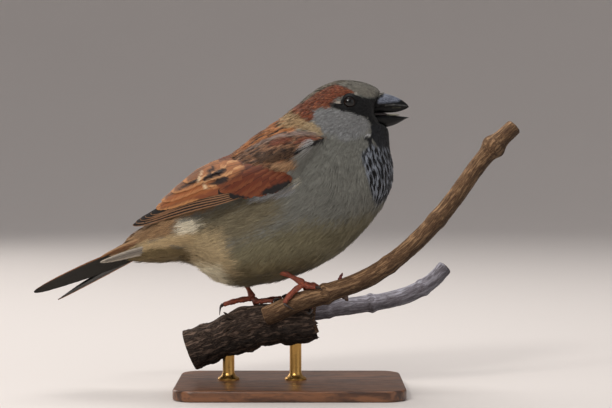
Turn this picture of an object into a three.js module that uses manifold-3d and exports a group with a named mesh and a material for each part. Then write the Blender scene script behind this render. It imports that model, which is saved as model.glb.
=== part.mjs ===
// House sparrow, adult male in winter plumage, standing along a cut limb on a display stand.
// Millimetres, +Z up. The bird faces +X and its right side faces -Y.
// The origin is the centre of the underside of the stand's base.

import * as THREE from 'three';
import { mergeVertices } from 'three/addons/utils/BufferGeometryUtils.js';
import Module from 'manifold-3d';

const wasm = await Module();
wasm.setup();

// ---- driving dimensions ----

const gap = 0.3; // clear space between touching pieces
const blend = 7; // width of the soft join between the masses of the body

// The plumage outline is a soft union of ellipsoids: x and z of the centre,
// half length, half width and half depth, and the rise of the long axis in degrees.
const masses = {
  trunk: { x: 3.0, z: 71.8, half: [36.5, 21.5, 26.0], rise: 36 },
  belly: { x: -12.5, z: 55.0, half: [24.0, 17.0, 15.8], rise: 20 },
  breast: { x: 20.0, z: 81.0, half: [18.2, 17.5, 18.5], rise: 60 },
  shoulders: { x: -5.0, z: 88.0, half: [24.0, 16.0, 10.2], rise: 34 },
  neck: { x: 14.0, z: 96.0, half: [19.0, 13.5, 14.8], rise: 25 },
  throat: { x: 28.0, z: 95.0, half: [8.2, 8.0, 10.0], rise: 0 },
  head: { x: 20.3, z: 103.6, half: [13.8, 10.2, 11.8], rise: -6 },
  forehead: { x: 27.8, z: 107.8, half: [7.6, 5.2, 5.8], rise: -14 },
  back: { x: -33.0, z: 72.0, half: [21.0, 10.0, 8.0], rise: 39 },
  rump: { x: -36.0, z: 61.2, half: [21.0, 10.5, 10.2], rise: 30 },
  tailRoot: { x: -53.0, z: 55.4, half: [15.0, 6.0, 5.2], rise: 25 },
};

// Thin cuts that part the plumage: a point on the cut and the direction, in degrees
// above +X, of the side nearer the head.
const headCut = { x: 19.0, z: 96.5, toward: 74 };
const neckCut = { x: 16.0, z: 90.0, toward: 76 };
const rumpCut = { x: -30.0, z: 57.0, toward: 20 };

const eyeSize = { x: 21.7, y: 8.5, z: 106.9, radius: 2.65 };

// Each half of the bill tapers from its root to its point as (1 - t ** a) ** b, with a and b
// given for its width, its rise over the line and its drop below it.
const upperBill = {
  line: [[29.5, 106.8], [34.5, 106.8], [39.5, 106.2], [44.0, 105.5]],
  half: [4.1, 3.8, 3.6],
  taper: [[1.5, 0.9], [3.0, 0.75], [4.0, 0.9]],
};
const lowerBill = {
  line: [[29.5, 100.6], [35.0, 100.8], [39.8, 101.1], [44.2, 101.5]],
  half: [3.7, 1.1, 2.7],
  taper: [[1.6, 0.9], [6.0, 0.8], [3.5, 1.3]],
};
const tongueSize = { line: [[31.0, 102.5], [36.0, 102.6], [40.6, 102.6]], half: [1.5, 0.35], taper: 0.5 };
const gape = { line: [[31.0, 102.6], [36.0, 102.6], [45.0, 102.8]], half: [3.4, 0.8] };

// The folded wing is a curved blade between an upper and a lower edge, given on the
// right side as [x, distance from the middle plane, z] from the bend to the tip.
const wing = {
  upper: [[13.0, 17.0, 93.8], [0.0, 13.4, 97.6], [-17.0, 7.6, 90.6], [-34.0, 4.4, 82.6], [-47.4, 3.8, 71.4],
    [-58.4, 3.8, 62.1]],
  lower: [[13.0, 17.0, 93.8], [2.5, 21.6, 80.5], [-9.0, 21.8, 73.5], [-26.0, 17.0, 68.6], [-43.0, 9.4, 63.6],
    [-58.4, 3.8, 62.1]],
  swell: 5.2, // how far the blade curves out between its edges
  swellPace: 1.15, // more than 1 ends the swelling before the tip
  lean: 0.35, // how far the lower edge is turned up to face the sky
  halfThick: 1.35,
  tipThick: 0.5,
  endGrow: 1.0, // a cutter is longer than it is thicker by this much
  room: 0.8, // left free round the blade in the body
};
const covertCut = { x: -19.5, z: 79.0, toward: 22 };
const tertialCut = { x: -35.0, z: 71.6, toward: 118 };

// The tail is two bundles of feathers that part towards the tips. The tail is rolled,
// so that its right edge is the higher one.
const tail = {
  root: [-50.0, 54.6],
  roll: 36,
  rightTip: [-93.2, 37.0],
  leftTip: [-87.6, 34.4],
  halfWidth: 5.0,
  halfThick: 0.8,
  rootShare: 0.92, // the roots lie this much closer together than side by side
  tipSpread: 0.4,
  sag: 0.5,
  rootTaper: 0.86,
};

// The perch: a dead limb with a broken end and two shoots, each [x, y, z] along its middle.
const limb = {
  line: [[-38.0, 3.4, 14.6], [-25.0, 3.2, 19.5], [-11.9, 3.0, 23.6], [9.2, 2.6, 26.2]],
  radius: 7.3,
  flare: 0.6,
  waves: [{ height: 0.35, pace: 17, start: 0 }, { height: 0.25, pace: 41, start: 1 }],
  sides: 14,
  rings: 12,
};
const tanShoot = {
  line: [[-9.8, -4.6, 27.9], [3.7, -6.0, 33.8], [15.9, -6.8, 37.7], [30.2, -6.8, 43.6], [42.4, -6.4, 52.4],
    [52.7, -5.8, 62.5], [61.3, -5.2, 73.0], [68.4, -4.6, 83.0], [75.3, -4.1, 91.2], [83.1, -3.6, 98.8]],
  radius: 3.6,
  tipRadius: 3.0,
  knots: [{ at: 0.205, swell: 0.6, length: 0.012 }, { at: 0.905, swell: 1.5, length: 0.022 }],
  sides: 10,
  rings: 20,
};
const greyShoot = {
  line: [[2.0, 8.4, 27.6], [12.0, 9.2, 29.2], [22.7, 10.0, 30.9], [34.0, 10.8, 32.4], [45.8, 11.6, 35.6],
    [53.6, 12.2, 40.2], [59.0, 12.8, 45.9]],
  radius: 3.3,
  tipRadius: 2.9,
  knots: [{ at: 0.47, swell: 0.7, length: 0.02 }],
  sides: 9,
  rings: 16,
};

const standBase = { length: 84, width: 60, thick: 4, corner: 8, bevel: 0.8 };
const standRods = { radius: 2.2, rear: -23, front: 2, y: 3.1, reach: 30 };

// Faces round each drawn-out shape and along it.
const faces = { bill: [12, 8], tongue: [8, 5], eye: [12, 8], wing: [12, 15], tail: [12, 9] };
const legFaces = { thigh: [12, 8], tarsus: [8, 6], toe: [7, 7], claw: [6, 6] };

// The share of a drawn-out shape's length over which each end is rounded.
const roundEnd = { bill: 0.08, tongue: 0.2, gape: 0.12, tail: 0.12, branch: 0.02, tarsus: 0.12, toe: 0.1 };

// ---- helpers ----

const degrees = (angle) => (angle * Math.PI) / 180;

function toSolid(geometry) {
  const bare = geometry.clone();
  bare.deleteAttribute('normal');
  bare.deleteAttribute('uv');
  const merged = mergeVertices(bare, 1e-4);
  return new wasm.Manifold(new wasm.Mesh({
    numProp: 3,
    vertProperties: new Float32Array(merged.attributes.position.array),
    triVerts: new Uint32Array(merged.index.array),
  }));
}

function toGeometry(solid) {
  const mesh = solid.getMesh();
  const geometry = new THREE.BufferGeometry();
  geometry.setAttribute('position', new THREE.BufferAttribute(mesh.vertProperties, mesh.numProp));
  geometry.setIndex(new THREE.BufferAttribute(mesh.triVerts, 1));
  geometry.computeVertexNormals();
  return geometry;
}

// Half of space: everything on the side that the cut looks toward, moved by a small step.
function halfSpace(cut, step, flip) {
  const size = 400;
  const side = flip ? -1 : 1;
  const box = new THREE.BoxGeometry(size, size, size);
  box.translate(side * (size / 2 + step), 0, 0);
  box.rotateY(-degrees(cut.toward));
  box.translate(cut.x, 0, cut.z);
  return toSolid(box);
}

const ahead = (solid, cut) => solid.intersect(halfSpace(cut, gap / 2, false));
const behind = (solid, cut) => solid.intersect(halfSpace(cut, gap / 2, true));

// A mirror copy across the bird's middle plane, with its faces turned out again.
function mirrored(geometry) {
  const copy = geometry.clone();
  copy.scale(1, -1, 1);
  const index = copy.index.array;
  for (let i = 0; i < index.length; i += 3) {
    [index[i], index[i + 1]] = [index[i + 1], index[i]];
  }
  copy.computeVertexNormals();
  return copy;
}

const mirroredSolid = (solid) => toSolid(mirrored(toGeometry(solid)));

// ---- the body's plumage ----

function massDistance(mass, point) {
  const rise = degrees(mass.rise);
  const dx = point.x - mass.x;
  const dz = point.z - mass.z;
  const local = new THREE.Vector3(
    dx * Math.cos(rise) + dz * Math.sin(rise),
    point.y,
    -dx * Math.sin(rise) + dz * Math.cos(rise),
  );
  const half = new THREE.Vector3(...mass.half);
  const near = local.clone().divide(half);
  const steep = near.clone().divide(half).length();
  return (near.length() * (near.length() - 1)) / Math.max(steep, 1e-6);
}

function bodyDistance(point) {
  let total = 0;
  for (const mass of Object.values(masses)) {
    total += Math.exp((-massDistance(mass, point) * 4) / blend);
  }
  return (-Math.log(total) * blend) / 4;
}

// A ball whose vertices are pushed out along their rays to the plumage's surface.
function bodyFrom(x, z, detail, grow) {
  const ball = new THREE.IcosahedronGeometry(1, detail);
  const position = ball.attributes.position;
  const ray = new THREE.Vector3();
  for (let i = 0; i < position.count; i += 1) {
    ray.fromBufferAttribute(position, i).normalize();
    let inside = 0;
    let outside = 110;
    for (let step = 0; step < 22; step += 1) {
      const middle = (inside + outside) / 2;
      const point = new THREE.Vector3(x + ray.x * middle, ray.y * middle, z + ray.z * middle);
      if (bodyDistance(point) < grow) inside = middle;
      else outside = middle;
    }
    position.setXYZ(i, x + ray.x * inside, ray.y * inside, z + ray.z * inside);
  }
  return toSolid(ball);
}

// ---- spindles: closed shapes that follow a line ----

// A sphere drawn out along a line. section(t) gives the half width across and the rise
// and drop along up(place), and the ends are rounded over the share 'cap'.
function spindle(line, section, up, sides, rings, cap) {
  const curve = new THREE.CatmullRomCurve3(line.map((p) => new THREE.Vector3(...p)));
  const ball = new THREE.SphereGeometry(1, sides, rings);
  const position = ball.attributes.position;
  for (let i = 0; i < position.count; i += 1) {
    const x = position.getX(i);
    const y = position.getY(i);
    const z = position.getZ(i);
    const t = THREE.MathUtils.clamp((1 + y) / 2, 0, 1);
    const around = Math.hypot(x, z);
    const nearEnd = Math.min(t, 1 - t) / cap;
    const round = nearEnd < 1 ? Math.sqrt(Math.max(0, 1 - (1 - nearEnd) ** 2)) : 1;
    const place = curve.getPointAt(t);
    const along = curve.getTangentAt(t);
    const across = new THREE.Vector3().crossVectors(along, up(place)).normalize();
    const above = new THREE.Vector3().crossVectors(across, along).normalize();
    const [width, rise, drop] = section(t);
    const sideways = around < 1e-6 ? 0 : (x / around) * round;
    const upward = around < 1e-6 ? 0 : (z / around) * round;
    place.addScaledVector(across, sideways * width);
    place.addScaledVector(above, upward * (upward > 0 ? rise : drop));
    position.setXYZ(i, place.x, place.y, place.z);
  }
  return ball;
}

const skyward = new THREE.Vector3(0, 0, 1);
const forward = new THREE.Vector3(1, 0, 0.2); // the front of an upright leg
const flat = (line) => line.map(([x, z]) => [x, 0, z]);

// ---- head ----

function eyeBall(side, grow) {
  const ball = new THREE.SphereGeometry(eyeSize.radius + grow, ...faces.eye);
  ball.rotateX(Math.PI / 2);
  ball.translate(eyeSize.x, side * eyeSize.y, eyeSize.z);
  return toSolid(ball);
}

function billHalf(bill, grow) {
  const section = (t) => bill.half.map((size, i) => {
    const [a, b] = bill.taper[i];
    return size * Math.max(0, 1 - t ** a) ** b + grow;
  });
  return spindle(flat(bill.line), section, () => skyward, ...faces.bill, roundEnd.bill);
}

function headSolid() {
  let head = ahead(bodyFrom(20.5, 102.5, 6, 0), headCut);
  for (const bill of [upperBill, lowerBill]) {
    head = head.subtract(toSolid(billHalf(bill, gap)));
  }
  head = head.subtract(toSolid(mouthGap()));
  for (const side of [-1, 1]) {
    head = head.subtract(eyeBall(side, gap));
  }
  return head;
}

// The open gape between the two halves of the bill.
function mouthGap() {
  const [width, depth] = gape.half;
  return spindle(flat(gape.line), () => [width, depth, depth], () => skyward, ...faces.bill, roundEnd.gape);
}

function tongue(grow) {
  const [width, depth] = tongueSize.half;
  const section = (t) => [width * (1 - tongueSize.taper * t) + grow, depth + grow, depth + grow];
  return spindle(flat(tongueSize.line), section, () => skyward, ...faces.tongue, roundEnd.tongue);
}

// ---- wings ----

function wingBlade(grow) {
  const edge = (points) => new THREE.CatmullRomCurve3(points.map(([x, y, z]) => new THREE.Vector3(x, -y, z)));
  const upper = edge(wing.upper);
  const lower = edge(wing.lower);
  const ball = new THREE.SphereGeometry(1, ...faces.wing);
  const position = ball.attributes.position;
  for (let i = 0; i < position.count; i += 1) {
    const x = position.getX(i);
    const y = position.getY(i);
    const z = position.getZ(i);
    const t = THREE.MathUtils.clamp((1 + y) / 2, 0, 1);
    const around = Math.hypot(x, z);
    const across = around < 1e-6 ? 0 : x / around;
    const through = around < 1e-6 ? 0 : z / around;
    const top = upper.getPoint(t);
    const bottom = lower.getPoint(t);
    const outward = new THREE.Vector3(0, -1, wing.lean * (1 - across)).normalize();
    const edgeway = top.clone().sub(bottom).normalize().multiplyScalar(grow * across);
    const thick = THREE.MathUtils.lerp(wing.halfThick, wing.tipThick, t) + grow;
    const bow = Math.sin(Math.PI * Math.min(1, t * wing.swellPace)) * (1 - across * across);
    const place = top.lerp(bottom, (1 - across) / 2).add(edgeway);
    place.addScaledVector(outward, wing.swell * bow + thick * through);
    position.setXYZ(i, place.x - wing.endGrow * grow * y, place.y, place.z);
  }
  return toSolid(ball);
}

// ---- tail ----

function tailHalf(side, grow) {
  const tip = side < 0 ? tail.rightTip : tail.leftTip;
  const roll = degrees(tail.roll);
  const across = new THREE.Vector3(0, side * Math.cos(roll), -side * Math.sin(roll));
  const offset = (tail.halfWidth + gap / 2) * tail.rootShare;
  const start = new THREE.Vector3(tail.root[0], 0, tail.root[1]).addScaledVector(across, offset);
  const end = new THREE.Vector3(tip[0], side * (tail.halfWidth + tail.tipSpread), tip[1]);
  const middle = start.clone().lerp(end, 0.5).add(new THREE.Vector3(0, 0, -tail.sag));
  const normal = new THREE.Vector3(0, Math.sin(roll), Math.cos(roll));
  const section = (t) => {
    const width = tail.halfWidth * THREE.MathUtils.lerp(tail.rootTaper, 1, Math.sin(Math.PI * t)) + grow;
    return [width, tail.halfThick + grow, tail.halfThick + grow];
  };
  const line = [start, middle, end].map((p) => p.toArray());
  return spindle(line, section, () => normal, ...faces.tail, roundEnd.tail);
}

// ---- perch ----

const curveOf = (line) => new THREE.CatmullRomCurve3(line.map((p) => new THREE.Vector3(...p)));

function limbGeometry(grow) {
  const section = (t) => {
    let radius = limb.radius + limb.flare * t + grow;
    for (const wave of limb.waves) radius += wave.height * Math.sin(t * wave.pace + wave.start);
    return [radius, radius, radius];
  };
  return spindle(limb.line, section, () => skyward, limb.sides, limb.rings, roundEnd.branch);
}

function shootGeometry(shoot, grow) {
  const section = (t) => {
    let radius = THREE.MathUtils.lerp(shoot.radius, shoot.tipRadius, t) + grow;
    for (const knot of shoot.knots) radius += knot.swell * Math.exp(-(((t - knot.at) / knot.length) ** 2));
    return [radius, radius, radius];
  };
  return spindle(shoot.line, section, () => skyward, shoot.sides, shoot.rings, roundEnd.branch);
}

// A place on a round branch: the point on its middle line at x, moved out by a distance
// at an angle round the branch (0 is the top, 90 the side nearest -Y).
function onBranch(line, x, angle, distance) {
  const curve = curveOf(line);
  let low = 0;
  let high = 1;
  for (let step = 0; step < 20; step += 1) {
    const middle = (low + high) / 2;
    if (curve.getPointAt(middle).x < x) low = middle;
    else high = middle;
  }
  const along = curve.getTangentAt(low);
  const across = new THREE.Vector3().crossVectors(along, skyward).normalize();
  const above = new THREE.Vector3().crossVectors(across, along).normalize();
  const place = curve.getPointAt(low);
  place.addScaledVector(above, Math.cos(degrees(angle)) * distance);
  return place.addScaledVector(across, Math.sin(degrees(angle)) * distance);
}

// ---- legs ----

// Each toe leaves the foot's joint and runs along its branch: x and the angle round the
// branch at the knuckle, on the way and at the root of the claw, then the claw's point
// as x, angle and height over the bark.
const feet = {
  left: {
    branch: limb,
    ankle: [-17.4, 8.0, 41.0],
    joint: [-14.0, 5.6, 34.2],
    toes: {
      hind: { x: [-16.4, -18.9, -21.4], angle: [-16, -12, -8], arch: 2.0, claw: [-23.4, 14, 0.3] },
      inner: { x: [-10.8, -8.0, -5.0], angle: [3, 12, 20], claw: [-1.6, 26, 0.4] },
      middle: { x: [-10.2, -6.4, -2.0], angle: [-16, -15, -13], claw: [1.6, -11, 0.4] },
      outer: { x: [-11.2, -8.8, -6.2], angle: [-36, -49, -62], claw: [-3.4, -78, 0.4] },
    },
  },
  right: {
    branch: tanShoot,
    ankle: [-3.6, -9.4, 45.6],
    joint: [5.2, -7.0, 40.6],
    toes: {
      hind: { x: [2.8, 0.8, -1.0], angle: [32, 52, 70], claw: [1.2, 116, 0.3] },
      inner: { x: [6.6, 6.8, 6.6], angle: [-48, -98, -146], claw: [4.6, -194, 0.3] },
      middle: { x: [8.2, 9.8, 11.0], angle: [-14, -32, -54], claw: [11.6, -90, 0.4] },
      outer: { x: [7.8, 9.4, 10.8], angle: [22, 34, 46], claw: [12.6, 66, 0.4] },
    },
  },
};
const toeRadius = { hind: 1.15, inner: 0.95, middle: 1.05, outer: 0.95 };
const toeShape = { clear: 1.08, taper: 0.22, pad: 0.08, pads: 3 };
const clawShape = { radius: 0.82, crest: 1.2, taper: 0.72, narrow: 0.8 };
const tarsusShape = { radius: 1.15, flare: 0.28 };
const limbRough = 0.9; // the bark's highest swelling over the limb's radius

const outFrom = (branch) => (place) => place.clone().sub(onBranch(branch.line, place.x, 0, 0));

function branchRadius(branch) {
  return branch === limb ? limb.radius + limbRough : branch.radius;
}

function toePoints(foot, toe, radius) {
  const reach = branchRadius(foot.branch) + gap + toeShape.clear * radius + (toe.arch ?? 0);
  const points = toe.x.map((x, i) => onBranch(foot.branch.line, x, toe.angle[i], reach));
  return [new THREE.Vector3(...foot.joint), ...points];
}

function toeGeometry(foot, toe, radius, grow) {
  const line = toePoints(foot, toe, radius).map((p) => p.toArray());
  const section = (t) => {
    const pad = toeShape.pad * Math.cos(t * Math.PI * 2 * toeShape.pads);
    const size = radius * (1 - toeShape.taper * t + pad) + grow;
    return [size, size, size];
  };
  return spindle(line, section, outFrom(foot.branch), ...legFaces.toe, roundEnd.toe);
}

function clawGeometry(foot, toe, radius) {
  const reach = branchRadius(foot.branch) + gap;
  const start = toePoints(foot, toe, radius)[3];
  const [tipX, tipAngle, tipLift] = toe.claw;
  const tip = onBranch(foot.branch.line, tipX, tipAngle, reach + tipLift);
  const crest = start.clone().lerp(tip, 0.5);
  const centre = onBranch(foot.branch.line, (start.x + tipX) / 2, tipAngle, 0);
  crest.addScaledVector(crest.clone().sub(centre).normalize(), clawShape.crest);
  const section = (t) => {
    const size = clawShape.radius * (1 - clawShape.taper * t);
    return [size * clawShape.narrow, size, size];
  };
  const line = [start, crest, tip].map((p) => p.toArray());
  return spindle(line, section, outFrom(foot.branch), ...legFaces.claw, roundEnd.toe);
}

function tarsusGeometry(foot, grow) {
  const line = [foot.ankle, foot.ankle.map((value, i) => (value + foot.joint[i]) / 2), foot.joint];
  const section = (t) => {
    const size = tarsusShape.radius * (1 + tarsusShape.flare * Math.cos(t * Math.PI * 2)) + grow;
    return [size, size, size];
  };
  return spindle(line, section, () => forward, ...legFaces.tarsus, roundEnd.tarsus);
}

// The feathered thigh shows as a low swelling at the side of the belly.
const thigh = { right: [-7.0, -10.2, 50.6], left: [-14.0, 10.0, 48.2], half: [11.0, 5.8, 6.2], rise: 34 };

function thighGeometry(side, grow) {
  const ball = new THREE.SphereGeometry(1, ...legFaces.thigh);
  ball.scale(thigh.half[0] + grow, thigh.half[1] + grow, thigh.half[2] + grow);
  ball.rotateY(-degrees(thigh.rise));
  ball.translate(...thigh[side]);
  return ball;
}

// ---- stand ----

function standBaseGeometry() {
  const { length, width, thick, corner, bevel } = standBase;
  const x = length / 2 - bevel;
  const y = width / 2 - bevel;
  const outline = new THREE.Shape();
  outline.moveTo(-x + corner, -y);
  outline.lineTo(x - corner, -y);
  outline.absarc(x - corner, -y + corner, corner, -Math.PI / 2, 0);
  outline.lineTo(x, y - corner);
  outline.absarc(x - corner, y - corner, corner, 0, Math.PI / 2);
  outline.lineTo(-x + corner, y);
  outline.absarc(-x + corner, y - corner, corner, Math.PI / 2, Math.PI);
  outline.lineTo(-x, -y + corner);
  outline.absarc(-x + corner, -y + corner, corner, Math.PI, Math.PI * 1.5);
  const slab = new THREE.ExtrudeGeometry(outline, {
    depth: thick - 2 * bevel,
    bevelEnabled: true,
    bevelThickness: bevel,
    bevelSize: bevel,
    bevelSegments: 1,
    curveSegments: 3,
  });
  slab.translate(0, 0, bevel);
  return slab;
}

function standRod(x, limbCutter) {
  const rod = new THREE.CylinderGeometry(standRods.radius, standRods.radius, standRods.reach, 16);
  rod.rotateX(Math.PI / 2);
  rod.translate(x, standRods.y, standBase.thick + gap + standRods.reach / 2);
  const pieces = toSolid(rod).subtract(limbCutter).decompose();
  return pieces.sort((a, b) => a.boundingBox().min[2] - b.boundingBox().min[2])[0];
}

// ---- the model ----

const colours = {
  crown: [0x6e6c62, 0.9],
  plumage: [0x8c8672, 0.9],
  buff: [0x9a8a6c, 0.9],
  chestnut: [0x8e4c2c, 0.85],
  flight: [0x5e4636, 0.8],
  tail: [0x3a342c, 0.8],
  horn: [0x2c2e34, 0.4],
  eye: [0x0c0a0a, 0.1],
  mouth: [0xa08a80, 0.5],
  skin: [0xb06448, 0.6],
  claw: [0x302a28, 0.4],
  bark: [0x4a3a32, 0.95],
  tanBark: [0x8c7050, 0.9],
  greyBark: [0x8a8488, 0.9],
  base: [0x5a3a26, 0.5],
  rod: [0xb08a48, 0.35],
};

const model = new THREE.Group();

function addPart(name, shape, colour) {
  const geometry = shape instanceof THREE.BufferGeometry ? toGeometry(toSolid(shape)) : toGeometry(shape);
  const [color, roughness] = colours[colour];
  const metalness = colour === 'rod' ? 1 : 0;
  const mesh = new THREE.Mesh(geometry, new THREE.MeshStandardMaterial({ color, roughness, metalness }));
  mesh.name = name;
  model.add(mesh);
}

function addBodyAndWings() {
  const blade = wingBlade(0);
  const room = wingBlade(wing.room);
  const cutters = [room, mirroredSolid(room)];
  for (const side of [-1, 1]) cutters.push(toSolid(tailHalf(side, gap)));
  for (const side of ['right', 'left']) {
    cutters.push(toSolid(thighGeometry(side, gap)));
    cutters.push(toSolid(tarsusGeometry(feet[side], gap)));
  }
  const carved = (solid) => largest(cutters.reduce((left, cutter) => left.subtract(cutter), solid));
  addPart('head', largest(headSolid()), 'crown');
  addPart('neck', carved(behind(ahead(bodyFrom(16, 93, 4, 0), neckCut), headCut)), 'plumage');
  addPart('trunk', carved(behind(ahead(bodyFrom(2, 69, 5, 0), rumpCut), neckCut)), 'plumage');
  addPart('rump', carved(behind(bodyFrom(-38, 60, 4, 0), rumpCut)), 'buff');
  const parts = {
    coverts: [ahead(blade, covertCut), 'chestnut'],
    tertials: [ahead(behind(blade, covertCut), tertialCut), 'flight'],
    primaries: [behind(behind(blade, covertCut), tertialCut), 'flight'],
  };
  for (const [name, [solid, colour]] of Object.entries(parts)) {
    const piece = largest(solid);
    addPart(`wing_right_${name}`, piece, colour);
    addPart(`wing_left_${name}`, mirroredSolid(piece), colour);
  }
}

function largest(solid) {
  return solid.decompose().sort((a, b) => b.volume() - a.volume())[0];
}

function addHeadParts() {
  for (const [name, side] of [['right', -1], ['left', 1]]) {
    addPart(`eye_${name}`, eyeBall(side, 0), 'eye');
  }
  const tongueCutter = toSolid(tongue(gap));
  addPart('bill_upper', toSolid(billHalf(upperBill, 0)).subtract(tongueCutter), 'horn');
  addPart('bill_lower', toSolid(billHalf(lowerBill, 0)).subtract(tongueCutter), 'horn');
  addPart('tongue', tongue(0), 'mouth');
}

function addTail() {
  addPart('tail_right', tailHalf(-1, 0), 'tail');
  addPart('tail_left', tailHalf(1, 0), 'tail');
}

function addLegs() {
  for (const [side, foot] of Object.entries(feet)) {
    let cutter = toSolid(tarsusGeometry(foot, gap));
    addPart(`thigh_${side}`, largest(toSolid(thighGeometry(side, 0)).subtract(cutter)), 'plumage');
    addPart(`tarsus_${side}`, tarsusGeometry(foot, 0), 'skin');
    for (const [digit, toe] of Object.entries(foot.toes)) {
      const solid = toSolid(toeGeometry(foot, toe, toeRadius[digit], 0)).subtract(cutter);
      addPart(`toe_${side}_${digit}`, largest(solid), 'skin');
      const around = toSolid(toeGeometry(foot, toe, toeRadius[digit], gap));
      const claw = toSolid(clawGeometry(foot, toe, toeRadius[digit])).subtract(around);
      addPart(`claw_${side}_${digit}`, largest(claw), 'claw');
      cutter = cutter.add(around);
    }
  }
}

function addPerchAndStand() {
  const limbCutter = toSolid(limbGeometry(gap));
  const tan = toSolid(shootGeometry(tanShoot, 0)).subtract(limbCutter);
  const grey = toSolid(shootGeometry(greyShoot, 0)).subtract(limbCutter);
  addPart('perch_limb', limbGeometry(0), 'bark');
  addPart('perch_shoot_tan', largest(tan), 'tanBark');
  addPart('perch_shoot_grey', largest(grey), 'greyBark');
  addPart('stand_base', standBaseGeometry(), 'base');
  addPart('stand_rod_rear', standRod(standRods.rear, limbCutter), 'rod');
  addPart('stand_rod_front', standRod(standRods.front, limbCutter), 'rod');
}

addBodyAndWings();
addHeadParts();
addTail();
addLegs();
addPerchAndStand();

export default model;
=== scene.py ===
# House sparrow, adult male in winter plumage, on a cut limb over a display stand.
import math
import bmesh
import bpy
import numpy as np
from mathutils import Matrix, Vector, noise
from mathutils.bvhtree import BVHTree
from mathutils.kdtree import KDTree


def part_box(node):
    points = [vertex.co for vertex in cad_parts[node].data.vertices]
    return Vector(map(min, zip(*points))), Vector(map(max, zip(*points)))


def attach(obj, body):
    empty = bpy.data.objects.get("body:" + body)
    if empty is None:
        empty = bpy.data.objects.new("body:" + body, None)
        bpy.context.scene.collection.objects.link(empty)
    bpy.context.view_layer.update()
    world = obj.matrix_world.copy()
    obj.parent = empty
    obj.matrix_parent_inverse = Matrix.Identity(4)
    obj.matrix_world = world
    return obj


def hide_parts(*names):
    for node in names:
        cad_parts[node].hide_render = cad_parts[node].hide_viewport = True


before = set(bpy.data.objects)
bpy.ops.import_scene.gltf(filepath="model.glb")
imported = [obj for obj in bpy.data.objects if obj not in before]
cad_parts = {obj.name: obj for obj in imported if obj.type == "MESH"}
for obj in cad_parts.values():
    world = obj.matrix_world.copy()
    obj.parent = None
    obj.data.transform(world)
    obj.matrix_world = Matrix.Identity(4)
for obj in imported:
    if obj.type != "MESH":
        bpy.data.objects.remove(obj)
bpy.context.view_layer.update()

mm = 0.001  # lengths in the tables below are in millimetres
skyward = np.array([0.0, 0.0, 1.0])
print("frame loaded:", len(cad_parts), "nodes")


# colours are given as screen values from 0 to 255
def paint(r, g, b):
    shade = np.array([r, g, b], float) / 255
    return np.where(shade > 0.04045, ((shade + 0.055) / 1.055) ** 2.4, shade / 12.92)


def rgba(r, g, b):
    return (*paint(r, g, b), 1.0)


def unit(v):
    return v / np.maximum(np.linalg.norm(v, axis=-1, keepdims=True), 1e-9)


def ease(low, high, value):
    t = np.clip((value - low) / (high - low), 0, 1)
    return t * t * (3 - 2 * t)


# a cheap wavy field, smooth in space, from about -1 to 1
def ripple(place, size, seed):
    rng = np.random.default_rng(seed)
    total = np.zeros(len(place))
    for _ in range(6):
        way = unit(rng.normal(size=3)) / size * rng.uniform(0.7, 1.9)
        total += np.sin(place @ way * 6.28 + rng.uniform(0, 6.28))
    return total / 3


# A smooth line through points, as a function of the share of its length. Where it isn't even,
# each stretch between two points takes the same share.
def smoothLine(points, even=True):
    knots = np.array(points, float)
    ends = np.vstack([2 * knots[0] - knots[1], knots, 2 * knots[-1] - knots[-2]])
    spans = np.maximum(np.linalg.norm(np.diff(ends, axis=0), axis=1), 1e-6) ** 0.5
    w = np.linspace(0, 1, 41)[:-1, None]
    path = []
    for i in range(len(knots) - 1):
        a, b, c, d = ends[i:i + 4]
        da, db, dc = spans[i:i + 3]
        leave = ((b - a) / da - (c - a) / (da + db) + (c - b) / db) * db
        arrive = ((c - b) / db - (d - b) / (db + dc) + (d - c) / dc) * db
        bend = -3 * b + 3 * c - 2 * leave - arrive
        path.append(b + leave * w + bend * w ** 2 + (2 * b - 2 * c + leave + arrive) * w ** 3)
    path = np.vstack(path + [knots[-1:]])
    steps = np.linalg.norm(np.diff(path, axis=0), axis=1) if even else np.ones(len(path) - 1)
    reach = np.concatenate([[0], np.cumsum(steps)]) / steps.sum()

    def at(t):
        return np.stack([np.interp(t, reach, path[:, k]) for k in range(3)], axis=-1)

    at.length = np.linalg.norm(np.diff(path, axis=0), axis=1).sum()
    return at


def heading(at, t):
    return unit(at(np.minimum(t + 0.004, 1)) - at(np.maximum(t - 0.004, 0)))


# adds a node; an input is given as a value or as the socket that feeds it
def put(tree, kind, inputs=None, **settings):
    made = tree.nodes.new("ShaderNode" + kind)
    for key, value in settings.items():
        setattr(made, key, value)
    for name, value in (inputs or {}).items():
        if isinstance(value, bpy.types.NodeSocket):
            tree.links.new(value, made.inputs[name])
        else:
            made.inputs[name].default_value = value
    return made


def useGroup(tree, group, inputs):
    return put(tree, "Group", inputs, node_tree=group).outputs


def attribute(tree, name, output="Color"):
    return put(tree, "Attribute", attribute_name=name).outputs[output]


def objectPlace(tree):
    return put(tree, "TexCoord").outputs["Object"]


def maths(tree, operation, a, b=0.0, clamp=False):
    return put(tree, "Math", {0: a, 1: b}, operation=operation, use_clamp=clamp).outputs[0]


def mixed(tree, amount, a, b, way="MIX"):
    return put(tree, "Mix", {0: amount, 6: a, 7: b}, data_type="RGBA", blend_type=way).outputs[2]


def scaled(tree, colour, gain):
    return put(tree, "VectorMath", {0: colour, "Scale": gain}, operation="SCALE").outputs[0]


def clouds(tree, place, scale, detail, **more):
    inputs = {"Vector": place, "Scale": scale, "Detail": detail, **more}
    return put(tree, "TexNoise", inputs).outputs[0]


def mapped(tree, value, low, high, toLow=0.0, toHigh=1.0):
    inputs = {0: value, 1: low, 2: high, 3: toLow, 4: toHigh}
    return put(tree, "MapRange", inputs, interpolation_type="SMOOTHSTEP").outputs[0]


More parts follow.
